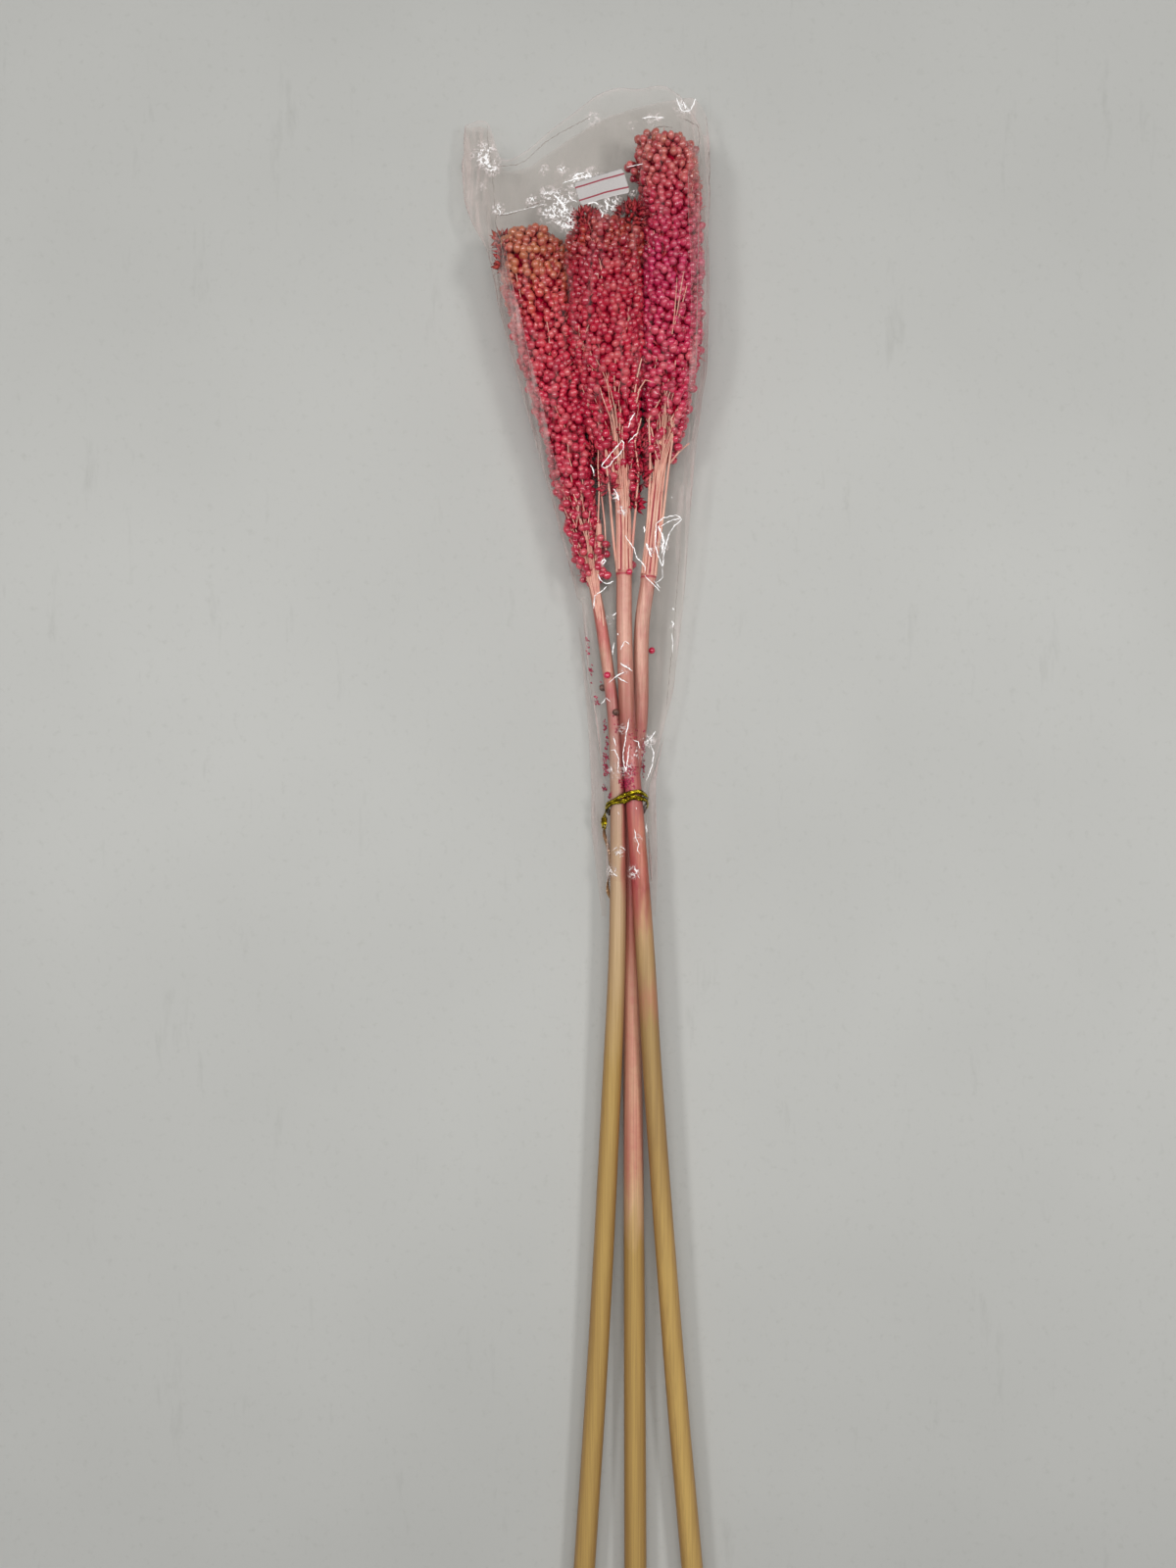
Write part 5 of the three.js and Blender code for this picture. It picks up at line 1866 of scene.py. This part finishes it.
class BUNCH_OT_heads(bpy.types.Operator):
    """Make the seed heads: their dark cores, seeds, husks and tufts"""

    bl_idname = "bunch.heads"
    bl_label = "Seed heads"

    def execute(self, context):
        length, husk = sizes().grain_length, sizes().husk_length
        bristle = husk * 1.35
        grains = [
            grain_shape("grain_round", length, length * 0.9, 0.02),
            grain_shape("grain_long", length * 1.08, length * 0.82, 0.07),
            grain_shape("grain_pinched", length * 0.94, length * 0.92, 0.14),
        ]
        husks = [
            husk_shape("husk_pair", husk, 2, 0.6),
            husk_shape("husk_star", husk * 1.05, 4, 0.85),
            husk_shape("husk_open", husk * 0.95, 3, 0.7),
        ]
        bristles = [
            glume_shape("bristles_two", bristle, 2, 0.25),
            glume_shape("bristles_three", bristle * 1.1, 3, 0.45),
            glume_shape("bristles_four", bristle * 0.95, 4, 0.6),
        ]
        glumes = glume_material()
        for number, side in enumerate(SIDES):
            head_core(side)
            seeds, scales = seed_material(side), seed_material(side, husk=True)
            scattered(
                "seeds_" + side, head_shell(side, 2.5, 96, 72, 1.4), grains, seeds,
                Spacing=sizes().grain_spacing, Depth=0.0015, Lean=0.55, Stray=0.45, Seed=5 + number,
                Least_size=0.78, Most_size=1.16,
            )
            scattered(
                "husks_" + side, head_shell(side, 2.6, 72, 60, 1.4), husks, scales,
                Spacing=0.0042, Depth=0.001, Lean=0.6, Stray=0.6, Seed=15 + number,
                Least_size=0.8, Most_size=1.2,
            )
            scattered(
                "bristles_" + side, head_shell(side, 1.6, 72, 60, 1.2), bristles, glumes,
                Spacing=0.0066, Depth=0.001, Lean=0.9, Stray=0.9, Seed=55 + number,
                Least_size=0.7, Most_size=1.2,
            )
            self.add_tufts(side, (grains, seeds), (husks, scales))
        for shape in grains + husks + bristles:
            bpy.data.objects.remove(shape)
        return {"FINISHED"}

    def add_tufts(self, side, seeds, husks):
        """The tufts of one head, from the shapes and the material of its seeds and of its husks."""
        for index, (head, x, y, z, radii, is_husk) in enumerate(TUFTS):
            if head != side:
                continue
            shapes, material = husks if is_husk else seeds
            spacing, least, most = (0.0017, 1.0, 1.5) if is_husk else (0.0023, 0.85, 1.15)
            scattered(
                f"tuft_{side}_{index}", blob(x, y, z, radii), shapes, material, Spacing=spacing, Depth=0.0002,
                Lean=0.4, Stray=0.5, Seed=31 + index, Least_size=least, Most_size=most,
            )


class BUNCH_OT_branches(bpy.types.Operator):
    """Make the pale branches that run from each stem's ring into its head"""

    bl_idname = "bunch.branches"
    bl_label = "Branches"

    def execute(self, context):
        for number, side in enumerate(SIDES):
            branches(side, number)
        return {"FINISHED"}


class BUNCH_OT_sleeve(bpy.types.Operator):
    """Make the clear sleeve, gathered at the tie and crinkled at its mouth"""

    bl_idname = "bunch.sleeve"
    bl_label = "Clear sleeve"

    def execute(self, context):
        rings, marks = [], []
        for y in film_stations():
            ring, row = film_ring(y)
            rings.append(ring)
            marks += row
        piece = new_piece("clear_sleeve", *lofted(rings, ends="open"), closed=False)
        for name, values in zip(("weld", "side", "glare"), zip(*marks)):
            set_values(piece.data, name, values)
        outward(piece.data)
        walled(piece, sizes().film_wall, -1.0)
        finish_piece(piece, film_material(), ["sleeve"])
        return {"FINISHED"}


class BUNCH_OT_creases(bpy.types.Operator):
    """Make the film's sharp creases, painted white as glints, and the folds where it lies double"""

    bl_idname = "bunch.creases"
    bl_label = "Creases and folds"

    def execute(self, context):
        film = surface_of("clear_sleeve")
        rng = random.Random(9)
        # The white creases glow a little, as painted glints.
        glint_white = crease_material("film_creases", 0.45, 1.0, (246, 246, 246), (255, 255, 255), 0.3)
        grey = crease_material("film_edges", 0.25, 0.7, (168, 154, 146), (190, 180, 172))
        for name, marks, material in (("film_creases", CREASES, glint_white), ("film_edges", FILM_EDGES, grey)):
            lines = [crease_line(film, mark, rng) for mark in marks]
            finish_piece(threads(name, lines, 6, material))
        flaps = [(fold_flap(film, fold, side, 0.25), haze) for fold, side, haze in FOLDS]
        # The pleats' strong haze lightens the shadow beside the tie: painted light.
        flaps += [(pleat_rows(inner, outer), 1.9) for inner, outer in PLEATS]
        folds = [film_flap(f"film_fold_{k + 1}", rows, haze) for k, (rows, haze) in enumerate(flaps)]
        return {"FINISHED"}


class BUNCH_OT_tie(bpy.types.Operator):
    """Make the gold foil tie, wound twice and twisted off"""

    bl_idname = "bunch.tie"
    bl_label = "Foil tie"

    def execute(self, context):
        tie_piece()
        return {"FINISHED"}


class BUNCH_OT_label(bpy.types.Operator):
    """Make the blank label on the film"""

    bl_idname = "bunch.label"
    bl_label = "Blank label"

    def execute(self, context):
        label_piece(surface_of("clear_sleeve"))
        return {"FINISHED"}


class BUNCH_OT_loose(bpy.types.Operator):
    """Make the loose seeds and flecks of dyed husk inside the sleeve"""

    bl_idname = "bunch.loose"
    bl_label = "Loose seeds and flecks"

    def execute(self, context):
        film = surface_of("clear_sleeve")
        stalks = [surface_of("stalk_" + side) for side in ("centre", "left", "right")]
        rng = random.Random(4)
        for name, bits, material in (
            ("loose_seeds", LOOSE_SEEDS, seed_material("centre")),
            ("loose_dark_seeds", LOOSE_DARK, dark_seed_material()),
        ):
            seeds = [pebble(resting_point(px, py, film, stalks, size)[0], size, rng) for px, py, size in bits]
            self.add_bits(name, seeds, material)
        flakes = []
        for px, py, size in FLECKS:
            flakes.append(chip(*resting_point(px, py, film, stalks, 0.2), size, rng))
        for px, py, across, along, count in DUST:
            for _ in range(count):
                size = rng.choice((0.6, 0.9, 1.2, 1.6))
                spot = rng.gauss(px, across * 0.6), rng.gauss(py, along * 0.6)
                flakes.append(chip(*resting_point(*spot, film, stalks, 0.2), size, rng))
        self.add_bits("dye_flecks", flakes, fleck_material())
        return {"FINISHED"}

    def add_bits(self, name, solids, material):
        """One piece of many small solids, with the values that its material reads."""
        piece = many_lofts(name, [(rings, "capped") for rings in solids])
        for label, value in (("tone", 0.5), ("rise", 0.6)):
            set_values(piece.data, label, [value] * len(piece.data.vertices))
        finish_piece(piece, material)


class BUNCH_PT_panel(bpy.types.Panel):
    bl_idname = "BUNCH_PT_panel"
    bl_label = "Sorghum bunch"
    bl_space_type = "VIEW_3D"
    bl_region_type = "UI"
    bl_category = "Sorghum"

    def draw(self, context):
        for operator in MAKERS:
            self.layout.operator(operator.bl_idname)
        for group in (context.scene.bunch_sizes, context.scene.bunch_colours):
            box = self.layout.box()
            for name in group.__annotations__:
                box.prop(group, name)


MAKERS = (
    BUNCH_OT_stage, BUNCH_OT_stalks, BUNCH_OT_heads, BUNCH_OT_branches, BUNCH_OT_sleeve, BUNCH_OT_creases,
    BUNCH_OT_tie, BUNCH_OT_label, BUNCH_OT_loose,
)
CLASSES = (BunchSizes, BunchColours, *MAKERS, BUNCH_PT_panel)


def register():
    for cls in CLASSES:
        bpy.utils.register_class(cls)
    bpy.types.Scene.bunch_sizes = bpy.props.PointerProperty(type=BunchSizes)
    bpy.types.Scene.bunch_colours = bpy.props.PointerProperty(type=BunchColours)


def unregister():
    del bpy.types.Scene.bunch_colours
    del bpy.types.Scene.bunch_sizes
    for cls in reversed(CLASSES):
        bpy.utils.unregister_class(cls)


def main():
    register()
    for maker in MAKERS:
        getattr(bpy.ops.bunch, maker.bl_idname.split(".")[1])()


if __name__ == "__main__":
    main()
